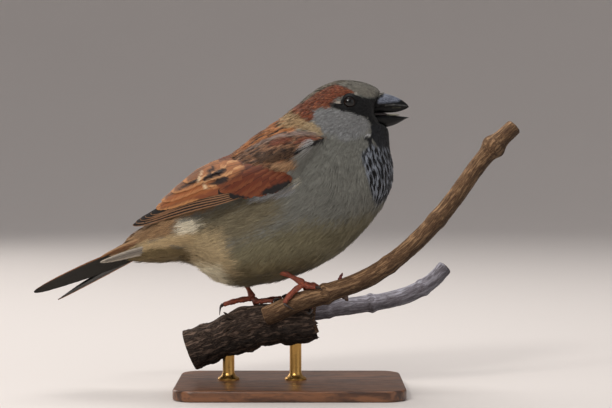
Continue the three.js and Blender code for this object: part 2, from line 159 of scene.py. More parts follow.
def newGroup(name, inputs, outputs):
    group = bpy.data.node_groups.new(name, "ShaderNodeTree")
    for label, kind, value in inputs:
        socket = group.interface.new_socket(label, in_out="INPUT", socket_type="NodeSocket" + kind)
        socket.default_value = value
    for label, kind in outputs:
        group.interface.new_socket(label, in_out="OUTPUT", socket_type="NodeSocket" + kind)
    source = group.nodes.new("NodeGroupInput")
    target = group.nodes.new("NodeGroupOutput")
    return group, source.outputs, target.inputs


def newMaterial(name, **constants):
    material = bpy.data.materials.new(name)
    material.use_nodes = True
    tree = material.node_tree
    tree.nodes.clear()
    out = put(tree, "OutputMaterial")
    shader = put(tree, "BsdfPrincipled", {k.replace("_", " "): v for k, v in constants.items()})
    tree.links.new(shader.outputs[0], out.inputs[0])
    return material, tree, shader


def finishWith(tree, shader, colour, height=None, strength=0.4, distance=0.0002, roughness=None):
    tree.links.new(colour, shader.inputs["Base Color"])
    if height is not None:
        bump = put(tree, "Bump", {"Strength": strength, "Distance": distance, "Height": height})
        tree.links.new(bump.outputs[0], shader.inputs["Normal"])
    if roughness is not None:
        tree.links.new(roughness, shader.inputs["Roughness"])


# uneven tone: the colour is made lighter and darker by a soft noise
def makeMottle():
    inputs = [("Color", "Color", (0.5, 0.5, 0.5, 1)), ("Vector", "Vector", (0, 0, 0)),
              ("Scale", "Float", 200.0), ("Amount", "Float", 0.3)]
    group, source, target = newGroup("mottle", inputs, [("Color", "Color"), ("Mask", "Float")])
    cloud = clouds(group, source["Vector"], source["Scale"], 5.0, Roughness=0.6)
    around = maths(group, "SUBTRACT", cloud, 0.5)
    swing = maths(group, "MULTIPLY", around, maths(group, "MULTIPLY", source["Amount"], 2.0))
    group.links.new(scaled(group, source["Color"], maths(group, "ADD", swing, 1.0)), target["Color"])
    group.links.new(cloud, target["Mask"])
    return group


# fine slanted streaks of the barbs on a vane, from its own map in millimetres
def makeBarbs():
    inputs = [("Vane", "Vector", (0, 0, 0)), ("Lines", "Float", 18.0)]
    group, source, target = newGroup("barbs", inputs, [("Streak", "Float"), ("Height", "Float")])
    parts = put(group, "SeparateXYZ", {0: source["Vane"]})
    slant = maths(group, "MULTIPLY", maths(group, "ABSOLUTE", parts.outputs[0]), 2.2)
    along = maths(group, "SUBTRACT", parts.outputs[1], slant)
    laid = put(group, "CombineXYZ", {0: maths(group, "MULTIPLY", parts.outputs[0], 0.5),
                                     1: maths(group, "MULTIPLY", along, 0.9)})
    streak = clouds(group, laid.outputs[0], 1.0, 5.0, Roughness=0.7)
    wander = maths(group, "ADD", along, maths(group, "MULTIPLY", streak, 0.4))
    wave = maths(group, "SINE", maths(group, "MULTIPLY", wander, source["Lines"]))
    group.links.new(streak, target["Streak"])
    group.links.new(maths(group, "ADD", wave, streak), target["Height"])
    return group


# furrowed or streaked bark along a straightened branch
def makeFurrows():
    inputs = [("Light", "Color", (0.5, 0.5, 0.5, 1)), ("Dark", "Color", (0.1, 0.1, 0.1, 1)),
              ("Vector", "Vector", (0, 0, 0)), ("Scale", "Float", 1.0), ("Stretch", "Float", 0.2),
              ("Crack", "Float", 0.6)]
    group, source, target = newGroup("furrows", inputs, [("Color", "Color"), ("Height", "Float")])
    pull = put(group, "CombineXYZ", {0: 1.0, 1: 1.0, 2: source["Stretch"]}).outputs[0]
    drawn = put(group, "VectorMath", {0: source["Vector"], 1: pull}, operation="MULTIPLY").outputs[0]
    coarse = clouds(group, drawn, source["Scale"], 8.0, Roughness=0.65, Distortion=0.4)
    fine = clouds(group, drawn, maths(group, "MULTIPLY", source["Scale"], 3.1), 6.0, Roughness=0.7)
    ridge = maths(group, "ABSOLUTE", maths(group, "SUBTRACT", coarse, 0.5))
    depth = maths(group, "SUBTRACT", 1.0, mapped(group, ridge, 0.0, 0.07))
    crack = maths(group, "SUBTRACT", 1.0, maths(group, "MULTIPLY", depth, source["Crack"]))
    shade = maths(group, "ADD", coarse, maths(group, "MULTIPLY", fine, 0.6))
    shade = maths(group, "MULTIPLY", mapped(group, shade, 0.6, 1.0), crack)
    group.links.new(mixed(group, shade, source["Dark"], source["Light"]), target["Color"])
    height = maths(group, "ADD", maths(group, "MULTIPLY", crack, 0.7), maths(group, "MULTIPLY", fine, 0.5))
    group.links.new(height, target["Height"])
    return group


mottle = makeMottle()
barbs = makeBarbs()
furrows = makeFurrows()


def mottled(tree, colour, place, scale, amount):
    return useGroup(tree, mottle, {"Color": colour, "Vector": place, "Scale": scale, "Amount": amount})


def makePlumage():
    material, tree, shader = newMaterial("plumage", Roughness=0.78, Sheen_Weight=0.12, Sheen_Roughness=0.5)
    shader.inputs["Specular IOR Level"].default_value = 0.25
    place = objectPlace(tree)
    soft = mottled(tree, attribute(tree, "tone"), place, 900.0, 0.22)
    broad = mottled(tree, soft["Color"], place, 160.0, 0.16)
    rough = mapped(tree, soft["Mask"], 0.3, 0.7, 0.7, 0.86)
    finishWith(tree, shader, broad["Color"], soft["Mask"], 0.25, 0.0002, rough)
    return material


def makeVanes(name, gloss):
    material, tree, shader = newMaterial(name)
    shader.inputs["Specular IOR Level"].default_value = 0.3
    vane = put(tree, "UVMap", uv_map="vane").outputs[0]
    tone = attribute(tree, "tone")
    rim = attribute(tree, "rim")
    edge = attribute(tree, "edge", "Fac")
    lines = useGroup(tree, barbs, {"Vane": vane, "Lines": 17.0})
    around = maths(tree, "SUBTRACT", lines["Streak"], 0.5)
    ragged = maths(tree, "ADD", edge, maths(tree, "MULTIPLY", around, 1.1))
    pattern = mixed(tree, mapped(tree, ragged, 0.25, 0.75), tone, rim)
    gain = maths(tree, "ADD", maths(tree, "MULTIPLY", around, 1.1), 1.0)
    streaked = scaled(tree, pattern, gain)
    parts = put(tree, "SeparateXYZ", {0: vane})
    shaft = mapped(tree, maths(tree, "ABSOLUTE", parts.outputs[0]), 0.05, 0.16)
    colour = mixed(tree, shaft, scaled(tree, streaked, 0.5), streaked)
    rough = mapped(tree, lines["Streak"], 0.3, 0.7, gloss, gloss + 0.15)
    finishWith(tree, shader, colour, lines["Height"], 0.3, 0.00012, rough)
    return material


def makeHorn(name, light, dark, scale, gloss, **constants):
    material, tree, shader = newMaterial(name, **constants)
    straight = attribute(tree, "straight", "Vector")
    line = useGroup(tree, furrows, {"Light": light, "Dark": dark, "Vector": straight, "Scale": scale,
                                    "Stretch": 0.35, "Crack": 0.25})
    finishWith(tree, shader, line["Color"], line["Height"], 0.16, 0.0002,
               mapped(tree, line["Height"], 0.4, 1.1, gloss, gloss + 0.16))
    return material


plumage = makePlumage()
flightVanes = makeVanes("flightVanes", 0.58)
tailVanes = makeVanes("tailVanes", 0.5)


def linked(name, data):
    item = bpy.data.objects.new(name, data)
    bpy.context.scene.collection.objects.link(item)
    return item


def lookAt(item, target):
    item.rotation_euler = (target - item.location).to_track_quat("-Z", "Y").to_euler()


# gives a piece its finish and hides the CAD nodes it stands for
def declare(piece, material, slotName, *nodes):
    piece.data.materials.append(material)
    if not piece.data.has_custom_normals:
        piece.data.shade_smooth()
    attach(piece, "root")
    if nodes:
        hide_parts(*nodes)
    return piece


def addPiece(name, mesh, material, slotName, *nodes):
    return declare(linked(name, mesh), material, slotName, *nodes)


def meshOf(bm, name):
    mesh = bpy.data.meshes.new(name)
    bm.to_mesh(mesh)
    bm.free()
    return mesh


# puts a shape made in millimetres at its place
def setDown(bm, spot):
    bmesh.ops.translate(bm, verts=bm.verts, vec=spot)
    bmesh.ops.scale(bm, verts=bm.verts, vec=(mm, mm, mm))


# an outline turned once round an axis
def spun(profile, axis, steps, merge=1e-4):
    bm = bmesh.new()
    verts = [bm.verts.new(p) for p in profile]
    for a, b in zip(verts, verts[1:]):
        bm.edges.new((a, b))
    bmesh.ops.spin(bm, geom=bm.verts[:] + bm.edges[:], axis=axis, cent=(0, 0, 0), steps=steps,
                   angle=math.tau, use_merge=True)
    bmesh.ops.remove_doubles(bm, verts=bm.verts, dist=merge)
    return bm


# A ball drawn out along a line. section(t) gives the radius, or half width, rise and drop,
# relief(t, turn) a height added to them, and 'straight' keeps the place on the straightened piece.
def drawnAlong(line, section, up, around=24, rings=32, cap=0.1, relief=None):
    bm = bmesh.new()
    keep = bm.verts.layers.float_vector.new("straight")
    made = bmesh.ops.create_uvsphere(bm, u_segments=around, v_segments=rings, radius=1.0)["verts"]
    ball = np.array([v.co for v in made])
    t = 1 - np.arccos(np.clip(ball[:, 2], -1, 1)) / np.pi
    turn = np.arctan2(ball[:, 1], ball[:, 0])
    off = np.hypot(ball[:, 0], ball[:, 1]) > 1e-5
    near = np.minimum(np.minimum(t, 1 - t) / cap, 1)
    swell = np.where(off, np.sqrt(np.maximum(0, 1 - (1 - near) ** 2)), 0)
    at = smoothLine(line)
    place = at(t)
    along = heading(at, t)
    raised = up(place) if callable(up) else np.broadcast_to(up, place.shape)
    across = unit(np.cross(along, raised))
    above = unit(np.cross(across, along))
    sizes = section(t)
    if isinstance(sizes, np.ndarray):
        sizes = (sizes, sizes, sizes)
    width, rise, drop = [np.broadcast_to(size, t.shape).astype(float) for size in sizes]
    extra = relief(t, turn) if relief else 0
    sideways = -np.cos(turn) * swell
    upward = np.sin(turn) * swell
    place = place + across * (sideways * (width + extra))[:, None]
    place = place + above * (upward * (np.where(upward > 0, rise, drop) + extra))[:, None]
    size = (width + rise) / 2
    for i, vert in enumerate(made):
        vert.co = Vector(place[i]) * mm
        vert[keep] = Vector((sideways[i] * size[i], upward[i] * size[i], t[i] * at.length))
    return bm


# The skin under the coat: copies of the nodes, grown to meet and remeshed as one closed surface.
skinSet = {
    "nodes": ["head", "neck", "trunk", "rump", "thigh_left", "thigh_right", "wing_left_coverts",
              "wing_right_coverts"],
    "grow": 0.00045,  # in metres, as the voxels are
    "voxel": 0.0008,
    "smooth": 14,
    # how far forward the face may come, by height: it ends behind the root of the bill
    "front": ([97.0, 98.0, 99.5, 103, 107, 109.5, 111, 112], [46, 38, 33.4, 31.4, 31.8, 33.2, 34.8, 46]),
    "round": 3.0,  # how far behind its front the face begins to round off
    "shade": 0.6,  # the skin is darker than the feathers over it
}

# How the coat lies: place (x, distance from the middle, z), the way it runs, then the length of a
# feather, the space between two and the height of its tip over the skin, all in millimetres.
coatGuide = np.array([
    [33, 2, 111, -0.95, 0.10, 0.30, 1.5, 0.50, 0.35],
    [22, 3, 116, -1.00, 0.05, 0.00, 2.5, 0.62, 0.55],
    [9, 3, 112, -0.85, 0.00, -0.50, 3.2, 0.72, 0.75],
    [1, 4, 105, -0.70, 0.00, -0.70, 4.2, 0.85, 0.95],
    [30, 6, 106, -0.90, 0.30, 0.10, 1.1, 0.42, 0.25],
    [24, 9, 110, -0.95, 0.10, 0.10, 1.4, 0.45, 0.30],
    [16, 10, 108, -1.00, 0.05, -0.10, 2.0, 0.55, 0.40],
    [22, 10, 102, -0.90, 0.05, -0.35, 1.8, 0.50, 0.40],
    [12, 11, 102, -0.85, 0.00, -0.55, 3.0, 0.65, 0.60],
    [30, 6, 100, -0.70, 0.20, -0.65, 1.5, 0.48, 0.30],
    [35, 1, 96, -0.15, 0.00, -1.00, 1.8, 0.55, 0.40],
    [32, 5, 93, -0.10, 0.10, -1.00, 2.6, 0.65, 0.60],
    [24, 10, 93, -0.50, 0.10, -0.85, 3.8, 0.80, 0.80],
    [37, 3, 84, 0.10, 0.00, -1.00, 4.4, 0.90, 1.00],
    [30, 12, 82, 0.20, 0.00, -1.00, 4.8, 0.95, 1.10],
    [34, 5, 68, -0.35, 0.00, -0.94, 6.0, 1.10, 1.20],
    [20, 17, 82, -0.15, 0.00, -1.00, 5.8, 1.05, 1.20],
    [14, 17, 92, -0.45, 0.10, -0.90, 4.8, 0.95, 1.00],
    [6, 20, 80, -0.60, 0.00, -0.80, 6.2, 1.05, 1.10],
    [10, 19, 66, -0.75, 0.00, -0.65, 6.8, 1.15, 1.30],
    [-8, 20, 64, -0.92, 0.00, -0.38, 7.2, 1.15, 1.30],
    [-24, 14, 60, -0.95, 0.00, -0.30, 7.4, 1.15, 1.30],
    [20, 8, 54, -0.75, 0.00, -0.65, 6.8, 1.20, 1.30],
    [0, 6, 41, -1.00, 0.00, -0.10, 7.2, 1.20, 1.40],
    [-16, 5, 40, -0.97, 0.00, 0.05, 7.6, 1.15, 2.20],
    [-30, 4, 44, -0.98, 0.00, 0.20, 8.2, 1.15, 2.50],
    [-42, 5, 50, -0.99, 0.00, 0.10, 8.2, 1.10, 1.20],
    [-58, 4, 49, -0.95, 0.00, -0.30, 8.2, 1.10, 0.80],
    [-2, 6, 100, -0.80, 0.00, -0.60, 5.4, 1.00, 1.00],
    [-12, 6, 95, -0.85, 0.00, -0.50, 6.6, 1.10, 1.00],
    [-24, 5, 87, -0.85, 0.00, -0.50, 7.0, 1.15, 0.90],
    [-34, 2, 80, -0.80, 0.00, -0.60, 6.5, 1.15, 0.70],
    [-44, 2, 72, -0.78, 0.00, -0.62, 6.5, 1.15, 0.60],
    [-50, 4, 62, -0.88, 0.00, -0.48, 7.6, 1.10, 0.90],
    [-62, 3, 55, -0.90, 0.00, -0.43, 8.0, 1.10, 0.60],
    [0, 15, 93, -0.93, 0.00, -0.35, 5.0, 0.90, 0.80],
    [10, 17, 93, -0.90, 0.00, -0.45, 3.4, 0.75, 0.60],
    [-6, 19, 86, -0.85, 0.00, -0.50, 4.6, 0.95, 0.70],
    [-7, 14, 50, -0.50, 0.10, -0.85, 4.8, 1.00, 0.90],
])


def guideAt(place):
    flat = place * [1, 0, 1] + np.abs(place) * [0, 1, 0]
    total = np.zeros((len(place), 6))
    weights = np.zeros((len(place), 1))
    for row in coatGuide:
        gap = ((flat - row[:3]) ** 2).sum(axis=1, keepdims=True)
        weight = 1 / (gap + 4) ** 2
        total += weight * row[3:]
        weights += weight
    total /= weights
    way = total[:, :3] * np.where(place[:, 1:2] < 0, [1, -1, 1], [1, 1, 1])
    return unit(way), total[:, 3], total[:, 4], total[:, 5]


# Markings, painted in this order. An outline is in the side view (x, z) and 'soft' how wide its
# border is. 'core' is a streak down a feather and 'tip' its fringe, 'some' the share of feathers
# that have the streak, 'vary' how unlike one another they are and 'ragged' how they straggle over
# the border. 'half' keeps a mark within that distance of the middle and 'wide' beyond it.
markings = [
    # the belly's buff tone, with part of its darkness painted shade on the lower body
    {"tone": (122, 115, 90), "soft": 7, "vary": 0.06,
     "outline": [(-34, 30), (-30, 52), (-8, 59), (6, 63), (16, 62), (30, 66), (44, 70), (30, 50),
                 (14, 30)]},
    # the lower belly, darker partly by its own tone and partly as painted shade under the body
    {"tone": (106, 95, 68), "soft": 5, "vary": 0.08,
     "outline": [(-24, 30), (-26, 47), (-6, 49), (8, 50), (14, 42), (0, 30)]},
    {"tone": (124, 115, 92), "soft": 8, "vary": 0.1, "core": (100, 88, 68), "coreAmount": 0.3,
     "outline": [(-38, 50), (-42, 60), (-24, 70), (-4, 74), (-4, 66), (-16, 57)]},
    {"tone": (178, 158, 122), "soft": 5, "vary": 0.08,
     "outline": [(-37, 40), (-42, 60), (-25, 60), (-20, 44)]},
    {"tone": (222, 212, 184), "soft": 4, "vary": 0.06,
     "outline": [(-37, 32), (-42, 48), (-26, 47), (-18, 32)]},
    # the undertail, brown partly by its own tone and partly as painted shadow under the pale tail coverts
    {"tone": (128, 110, 76), "soft": 2.5, "vary": 0.14, "core": (98, 82, 54), "coreAmount": 0.4,
     "outline": [(-36, 44), (-37, 52), (-43, 55), (-54, 55), (-76, 50), (-76, 36), (-50, 38)]},
    {"tone": (152, 118, 84), "soft": 2, "vary": 0.14, "core": (96, 70, 48), "coreAmount": 0.6,
     "tip": (182, 150, 112), "tipAmount": 0.35,
     "outline": [(-50, 84), (-24, 88), (-28, 68), (-42, 64), (-43, 58), (-53, 55.6), (-62, 53),
                 (-74, 48), (-76, 60)]},
    {"tone": (190, 166, 126), "soft": 1.4, "vary": 0.1,
     "outline": [(-62, 52.9), (-53, 55.8), (-42, 59), (-36, 60), (-36, 55), (-43, 54.4), (-51, 53.4),
                 (-60, 51)]},
    {"tone": (226, 216, 192), "soft": 2.0, "vary": 0.1,
     "outline": [(-42, 60.5), (-41, 63), (-35, 64), (-33, 62), (-36, 59.4), (-41, 58.6)]},
    {"tone": (172, 106, 56), "soft": 2, "vary": 0.14, "tip": (196, 148, 100), "tipAmount": 0.35,
     "dash": {"middle": (-10, 82), "way": (-0.88, -0.47), "radius": 14, "space": 2.6, "length": 11,
              "duty": 0.8, "wide": 0.42, "tone": (36, 27, 22)},
     "outline": [(-3, 106), (4, 99.5), (1, 95.6), (-8, 92.6), (-15, 89.6), (-24, 83), (-44, 70),
                 (-48, 80), (-14, 104)]},
    {"tone": (158, 128, 90), "soft": 2, "vary": 0.1, "tip": (180, 154, 116), "tipAmount": 0.5,
     "outline": [(-4, 98), (-3, 105), (1, 107), (5, 102), (7.6, 99.4), (12, 96), (9, 95.6), (2, 97.2)]},
    {"tone": (146, 102, 70), "soft": 1.6, "vary": 0.26, "core": (66, 44, 34), "coreAmount": 0.6,
     "some": 0.7, "wide": 6, "tip": (166, 134, 108), "tipAmount": 0.4,
     "dash": {"middle": (0, 76), "way": (-0.88, -0.47), "radius": 14, "space": 1.5, "length": 6.5,
              "duty": 0.8, "wide": 0.5, "tone": (58, 38, 29)},
     "outline": [(-26, 84), (-15, 90.3), (-5, 94.3), (4, 95.8), (12, 95.2), (12, 93.8), (6, 91),
                 (1.6, 88), (1.0, 81), (-14, 80), (-26, 78)]},
    {"tone": (122, 66, 44), "soft": 1.5, "vary": 0.24, "wide": 6,
     "outline": [(-8, 91.6), (-5.6, 93.6), (-1, 94.6), (1, 93.8), (-1.4, 92), (-5, 91)]},
    {"tone": (124, 70, 50), "soft": 1.5, "vary": 0.24, "wide": 6,
     "outline": [(2, 92.2), (4, 94.4), (8.4, 94.8), (9.6, 93.6), (6, 92)]},
    {"tone": (44, 31, 25), "soft": 1.4, "vary": 0.4, "tip": (146, 108, 76), "tipAmount": 0.45,
     "some": 0.6, "wide": 6,
     "outline": [(-13, 88), (-8.6, 88.6), (0.6, 91.0), (1.8, 89.6), (0.6, 85.6), (-6.2, 84.9),
                 (-12, 84.6)]},
    {"tone": (158, 124, 92), "soft": 1.6, "vary": 0.2, "wide": 6,
     "outline": [(-7.6, 84.4), (-3.7, 85.0), (1.2, 85.0), (2.4, 83.5), (-0.6, 81.6), (-4.9, 82.1)]},
    {"tone": (144, 122, 112), "soft": 0.9, "vary": 0.12, "tip": (134, 108, 88), "tipAmount": 0.3,
     "wide": 6,
     "outline": [(-15, 90.3), (-9, 93.4), (-5, 95.0), (1, 96.0), (9, 96.2), (10, 95.0), (3, 94.8),
                 (-4, 94.2), (-9, 92.4), (-14, 89.9)]},
    {"tone": (28, 24, 24), "soft": 0.8, "vary": 0.1, "wide": 6,
     "outline": [(1.2, 88.2), (4, 90.6), (7, 92.4), (11, 93.2), (11.8, 92.2), (8.6, 90.6), (5.4, 89.8),
                 (2, 87.2)]},
    {"tone": (158, 160, 162), "soft": 1.2, "vary": 0.08,
     "outline": [(-15, 72.4), (-8.6, 73.9), (-1, 75.4), (1.6, 76.6), (1.6, 74.4), (-2.5, 72.6),
                 (-8.6, 71.6), (-15, 70.6)]},
    {"tone": (174, 152, 118), "soft": 1.4, "vary": 0.1,
     "outline": [(3.6, 98.6), (8, 100.2), (13.4, 95.6), (10.5, 94.8)]},
    {"tone": (132, 133, 133), "soft": 1.6, "vary": 0.12, "core": (104, 104, 104), "coreAmount": 0.4,
     "some": 0.6,
     "outline": [(7.6, 104), (15, 105), (22, 104), (28.2, 101.4), (29.6, 97.4), (26.8, 94), (20, 92.5),
                 (12, 95.5), (8.2, 100)]},
    {"tone": (112, 50, 28), "soft": 0.8, "vary": 0.34, "core": (48, 24, 16), "coreAmount": 0.8,
     "some": 0.6, "ragged": 1.4, "tip": (160, 104, 70), "tipAmount": 0.35, "speckle": 0.5,
     "outline": [(24.2, 110.3), (22, 112.2), (19, 113.4), (15.6, 114.6), (8, 117), (-1, 108),
                 (0.6, 103.4), (3.6, 101.4), (7.2, 99.5), (8.4, 101.6), (8.1, 104), (11.3, 104.9),
                 (15.1, 104.9), (15.6, 106.8), (17, 108.4)]},
    {"tone": (122, 118, 108), "soft": 0.9, "vary": 0.16, "core": (84, 80, 72), "coreAmount": 0.5,
     "some": 0.6, "tip": (138, 132, 118), "tipAmount": 0.3,
     "outline": [(35, 110.2), (31, 108.9), (26.6, 109.1), (24.1, 110.4), (22.4, 111.6), (19, 113.3),
                 (14.6, 114.4), (12, 122), (25, 122), (38, 114)]},
    {"tone": (108, 100, 86), "soft": 1.4, "vary": 0.14, "half": 4.6,
     "outline": [(20, 122), (4, 118), (2, 106.4), (7, 107), (20, 110)]},
    {"tone": (11, 11, 12), "soft": 0.5, "vary": 0.2, "tip": (29, 28, 30), "tipAmount": 0.3,
     "some": 0.5, "ragged": 1.7,
     "outline": [(14.4, 106.4), (17.4, 107.0), (19.4, 108.4), (20.4, 109.6), (22.4, 110.1),
                 (24.9, 109.5), (27.9, 108.5), (30.9, 108.7), (34.5, 110.6), (40, 106), (38, 97),
                 (29.6, 96.0), (29.7, 98.7), (27.9, 100.9), (24.9, 102.3), (21.5, 103.2), (18.1, 104),
                 (15.4, 104.4)]},
    {"tone": (16, 17, 21), "soft": 0.6, "vary": 0.24, "tip": (60, 64, 72), "tipAmount": 0.4, "some": 0.5,
     "outline": [(29.5, 98.7), (29.5, 95.4), (29.5, 93.6), (31.4, 91.2), (34.3, 88.8), (40, 87.6),
                 (42, 99)]},
    {"tone": (136, 142, 152), "soft": 1.0, "vary": 0.14,
     "dash": {"middle": (17, 80), "way": (0.3, -0.95), "radius": 21, "space": 2.3, "length": 4.6,
              "duty": 0.84, "wide": 0.86, "tone": (12, 12, 15)},
     "outline": [(25.6, 87.6), (29.4, 91.4), (33.2, 90.0), (42, 88.6), (42, 74), (36.5, 72),
                 (31.6, 68.8), (29.6, 74.1), (27.8, 80.4)]},
    {"tone": (20, 20, 24), "soft": 0.4, "vary": 0.05,
     "outline": [(26.6, 93.8), (29.4, 93.9), (30.5, 91), (28.6, 91.6)]},
    {"tone": (200, 200, 202), "soft": 0.25, "vary": 0.03,
     "outline": [(26.4, 94.0), (28.0, 95.0), (29.4, 95.0), (29.2, 94.4), (28.0, 94.3)]},
    {"tone": (172, 162, 150), "soft": 0.25, "vary": 0.03,
     "outline": [(16.2, 106.9), (17.2, 107.3), (18.4, 107.0), (18.2, 106.5), (16.8, 106.5)]},
    {"tone": (168, 162, 152), "soft": 0.2, "vary": 0.03,
     "outline": [(23.3, 110.4), (24.2, 110.6), (24.6, 110.0), (23.7, 109.7)]},
]
ground = {"tone": (119, 119, 112), "vary": 0.06}
plain = {"coreAmount": 0.0, "tipAmount": 0.0, "vary": 0.1, "some": 1.0, "speckle": 0.0}


# how far inside an outline of the side view each place lies (negative outside)
def insideBy(outline, place):
    x, z = place[:, 0], place[:, 2]
    outline = np.array(outline, float)
    nearest = np.full(len(x), 1e9)
    within = np.zeros(len(x), bool)
    for (ax, az), (bx, bz) in zip(outline, np.roll(outline, -1, axis=0)):
        ex, ez = bx - ax, bz - az
        share = np.clip(((x - ax) * ex + (z - az) * ez) / (ex * ex + ez * ez + 1e-9), 0, 1)
        nearest = np.minimum(nearest, np.hypot(x - ax - share * ex, z - az - share * ez))
        crosses = ((az > z) != (bz > z)) & (x < (bx - ax) * (z - az) / (bz - az + 1e-12) + ax)
        within ^= crosses
    return np.where(within, nearest, -nearest)


# dark wedges in rows along the lie of the feathers, counted round the body
def dashes(place, dash):
    dx, dz = dash["way"]
    x, z = place[:, 0] - dash["middle"][0], place[:, 2] - dash["middle"][1]
    turn = np.arctan2(np.abs(place[:, 1]), np.abs(x * -dz + z * dx))
    row = dash["radius"] * turn / dash["space"] + ripple(place, 7.0, 2) * 0.25
    number = np.floor(row)
    start = np.sin(number * 12.9898) * 43.7585  # scatters where the wedges of each row begin
    share = ((x * dx + z * dz + ripple(place, 3.0, 6) * 0.6) / dash["length"] + start) % 1.0
    width = dash["wide"] * (0.35 + 0.65 * np.sqrt(share / dash["duty"]))
    off = np.abs(row - number - 0.5) * 2
    return ease(0.12, -0.12, off - width) * (share < dash["duty"])


# the colours of the feathers whose visible ends lie at these places
def markFeathers(place, rng):
    count = len(place)
    wobble = ripple(place * [1, 0.4, 1], 3.0, 5) * 0.35
    look = {part: np.tile(paint(*ground["tone"]), (count, 1)) for part in ("tone", "core", "tip")}
    for part, usual in plain.items():
        look[part] = np.full(count, ground.get(part, usual))
    draw = rng.uniform(-0.5, 0.5, count)
    for mark in markings:
        depth = insideBy(mark["outline"], place) + wobble * min(mark["soft"], 1.5)
        mask = ease(-0.5, 0.5, depth / mark["soft"] + draw * mark.get("ragged", 0.6))
        if "half" in mark:
            mask = mask * ease(-0.5, 0.5, mark["half"] - np.abs(place[:, 1]) + draw)
        if "wide" in mark:
            mask = mask * ease(-0.5, 0.5, np.abs(place[:, 1]) - mark["wide"] + draw)
        for part in ("tone", "core", "tip"):
            shade = paint(*mark.get(part, mark["tone"]))
            look[part] += mask[:, None] * (shade - look[part])
        if "dash" in mark:
            dark = (mask * dashes(place, mark["dash"]))[:, None]
            shade = paint(*mark["dash"]["tone"])
            look["tone"] += dark * (shade - look["tone"])
            look["tip"] += dark * (shade - look["tip"]) * 0.8
        for part, usual in plain.items():
            look[part] += mask * (mark.get(part, usual) - look[part])
    speckled = rng.uniform(0, 1, count) < look["speckle"] * 0.25
    look["tone"] = np.where(speckled[:, None], look["tip"], look["tone"])
    look["tone"] = look["tone"] * (1 + look["vary"] * rng.normal(size=count))[:, None].clip(0.5, 1.6)
    return look


def valuesOf(items, key, width, kind=float):
    values = np.empty(len(items) * width, kind)
    items.foreach_get(key, values)
    return values.reshape(-1, width)


def makeSkin():
    bm = bmesh.new()
    for name in skinSet["nodes"]:
        part = bmesh.new()
        part.from_mesh(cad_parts[name].data)
        bmesh.ops.remove_doubles(part, verts=part.verts, dist=1e-6)
        bmesh.ops.recalc_face_normals(part, faces=part.faces)
        part.normal_update()
        for vert in part.verts:
            vert.co += vert.normal * skinSet["grow"]
        joined = meshOf(part, "part")
        bm.from_mesh(joined)
        bpy.data.meshes.remove(joined)
    skin = linked("skin", meshOf(bm, "skin"))
    remesh = skin.modifiers.new("remesh", "REMESH")
    remesh.mode = "VOXEL"
    remesh.voxel_size = skinSet["voxel"]
    soft = skin.modifiers.new("soft", "SMOOTH")
    soft.factor = 0.5
    soft.iterations = skinSet["smooth"]
    graph = bpy.context.evaluated_depsgraph_get()
    mesh = bpy.data.meshes.new_from_object(skin.evaluated_get(graph))
    skin.modifiers.clear()
    skin.data = mesh
    place = valuesOf(mesh.vertices, "co", 3)
    height = guideAt(place / mm)[3]
    place = place - valuesOf(mesh.vertices, "normal", 3) * (height + skinSet["grow"] / mm)[:, None] * mm
    soften = skinSet["round"]
    behind = np.interp(place[:, 2] / mm, *skinSet["front"]) - soften
    over = np.maximum(place[:, 0] / mm - behind, 0)
    place[:, 0] += (soften * (1 - np.exp(-over / soften)) - over) * mm
    mesh.vertices.foreach_set("co", place.ravel())
    mesh.update()
    return skin


def unwrapSkin(skin):
    bpy.context.view_layer.objects.active = skin
    skin.select_set(True)
    bpy.ops.object.mode_set(mode="EDIT")
    bpy.ops.mesh.select_all(action="SELECT")
    bpy.ops.uv.smart_project(angle_limit=math.radians(66), island_margin=0.004)
    bpy.ops.object.mode_set(mode="OBJECT")
    skin.data.uv_layers[0].name = "OFBake"


def quadMesh(name, place, quads):
    mesh = bpy.data.meshes.new(name)
    mesh.vertices.add(len(place))
    mesh.vertices.foreach_set("co", (place * mm).ravel())
    mesh.loops.add(quads.size)
    mesh.loops.foreach_set("vertex_index", quads.ravel())
    mesh.polygons.add(len(quads))
    mesh.polygons.foreach_set("loop_start", np.arange(len(quads)) * 4)
    mesh.update(calc_edges=True)
    return mesh


def mapCorners(mesh, name, values, quads):
    mesh.uv_layers.new(name=name).data.foreach_set("uv", values[quads.ravel()].ravel())


def colourPoints(mesh, name, values):
    layer = mesh.color_attributes.new(name, "FLOAT_COLOR", "POINT")
    full = np.ones((len(values), 4), np.float32)
    full[:, :3] = np.clip(values, 0, 1)
    layer.data.foreach_set("color", full.ravel())


def finishSkin(skin):
    look = markFeathers(valuesOf(skin.data.vertices, "co", 3) / mm, np.random.default_rng(3))
    colourPoints(skin.data, "tone", look["tone"] * skinSet["shade"])
    declare(skin, plumage, "plumage", *skinSet["nodes"])


# a mesh as arrays in millimetres, with a tree to find the nearest place on it
class Surface:
    def __init__(self, mesh):
        mesh.calc_loop_triangles()
        self.place = valuesOf(mesh.vertices, "co", 3) / mm
        self.corners = valuesOf(mesh.loop_triangles, "vertices", 3, int)
        self.loops = valuesOf(mesh.loop_triangles, "loops", 3, int)
        self.smooth = unit(valuesOf(mesh.vertices, "normal", 3)[self.corners].mean(axis=1))
        self.tree = BVHTree.FromPolygons(self.place.tolist(), self.corners.tolist())

    def nearest(self, points):
        found = [self.tree.find_nearest(Vector(p)) for p in points]
        place = np.array([f[0] for f in found])
        return place, self.smooth[[f[2] for f in found]]


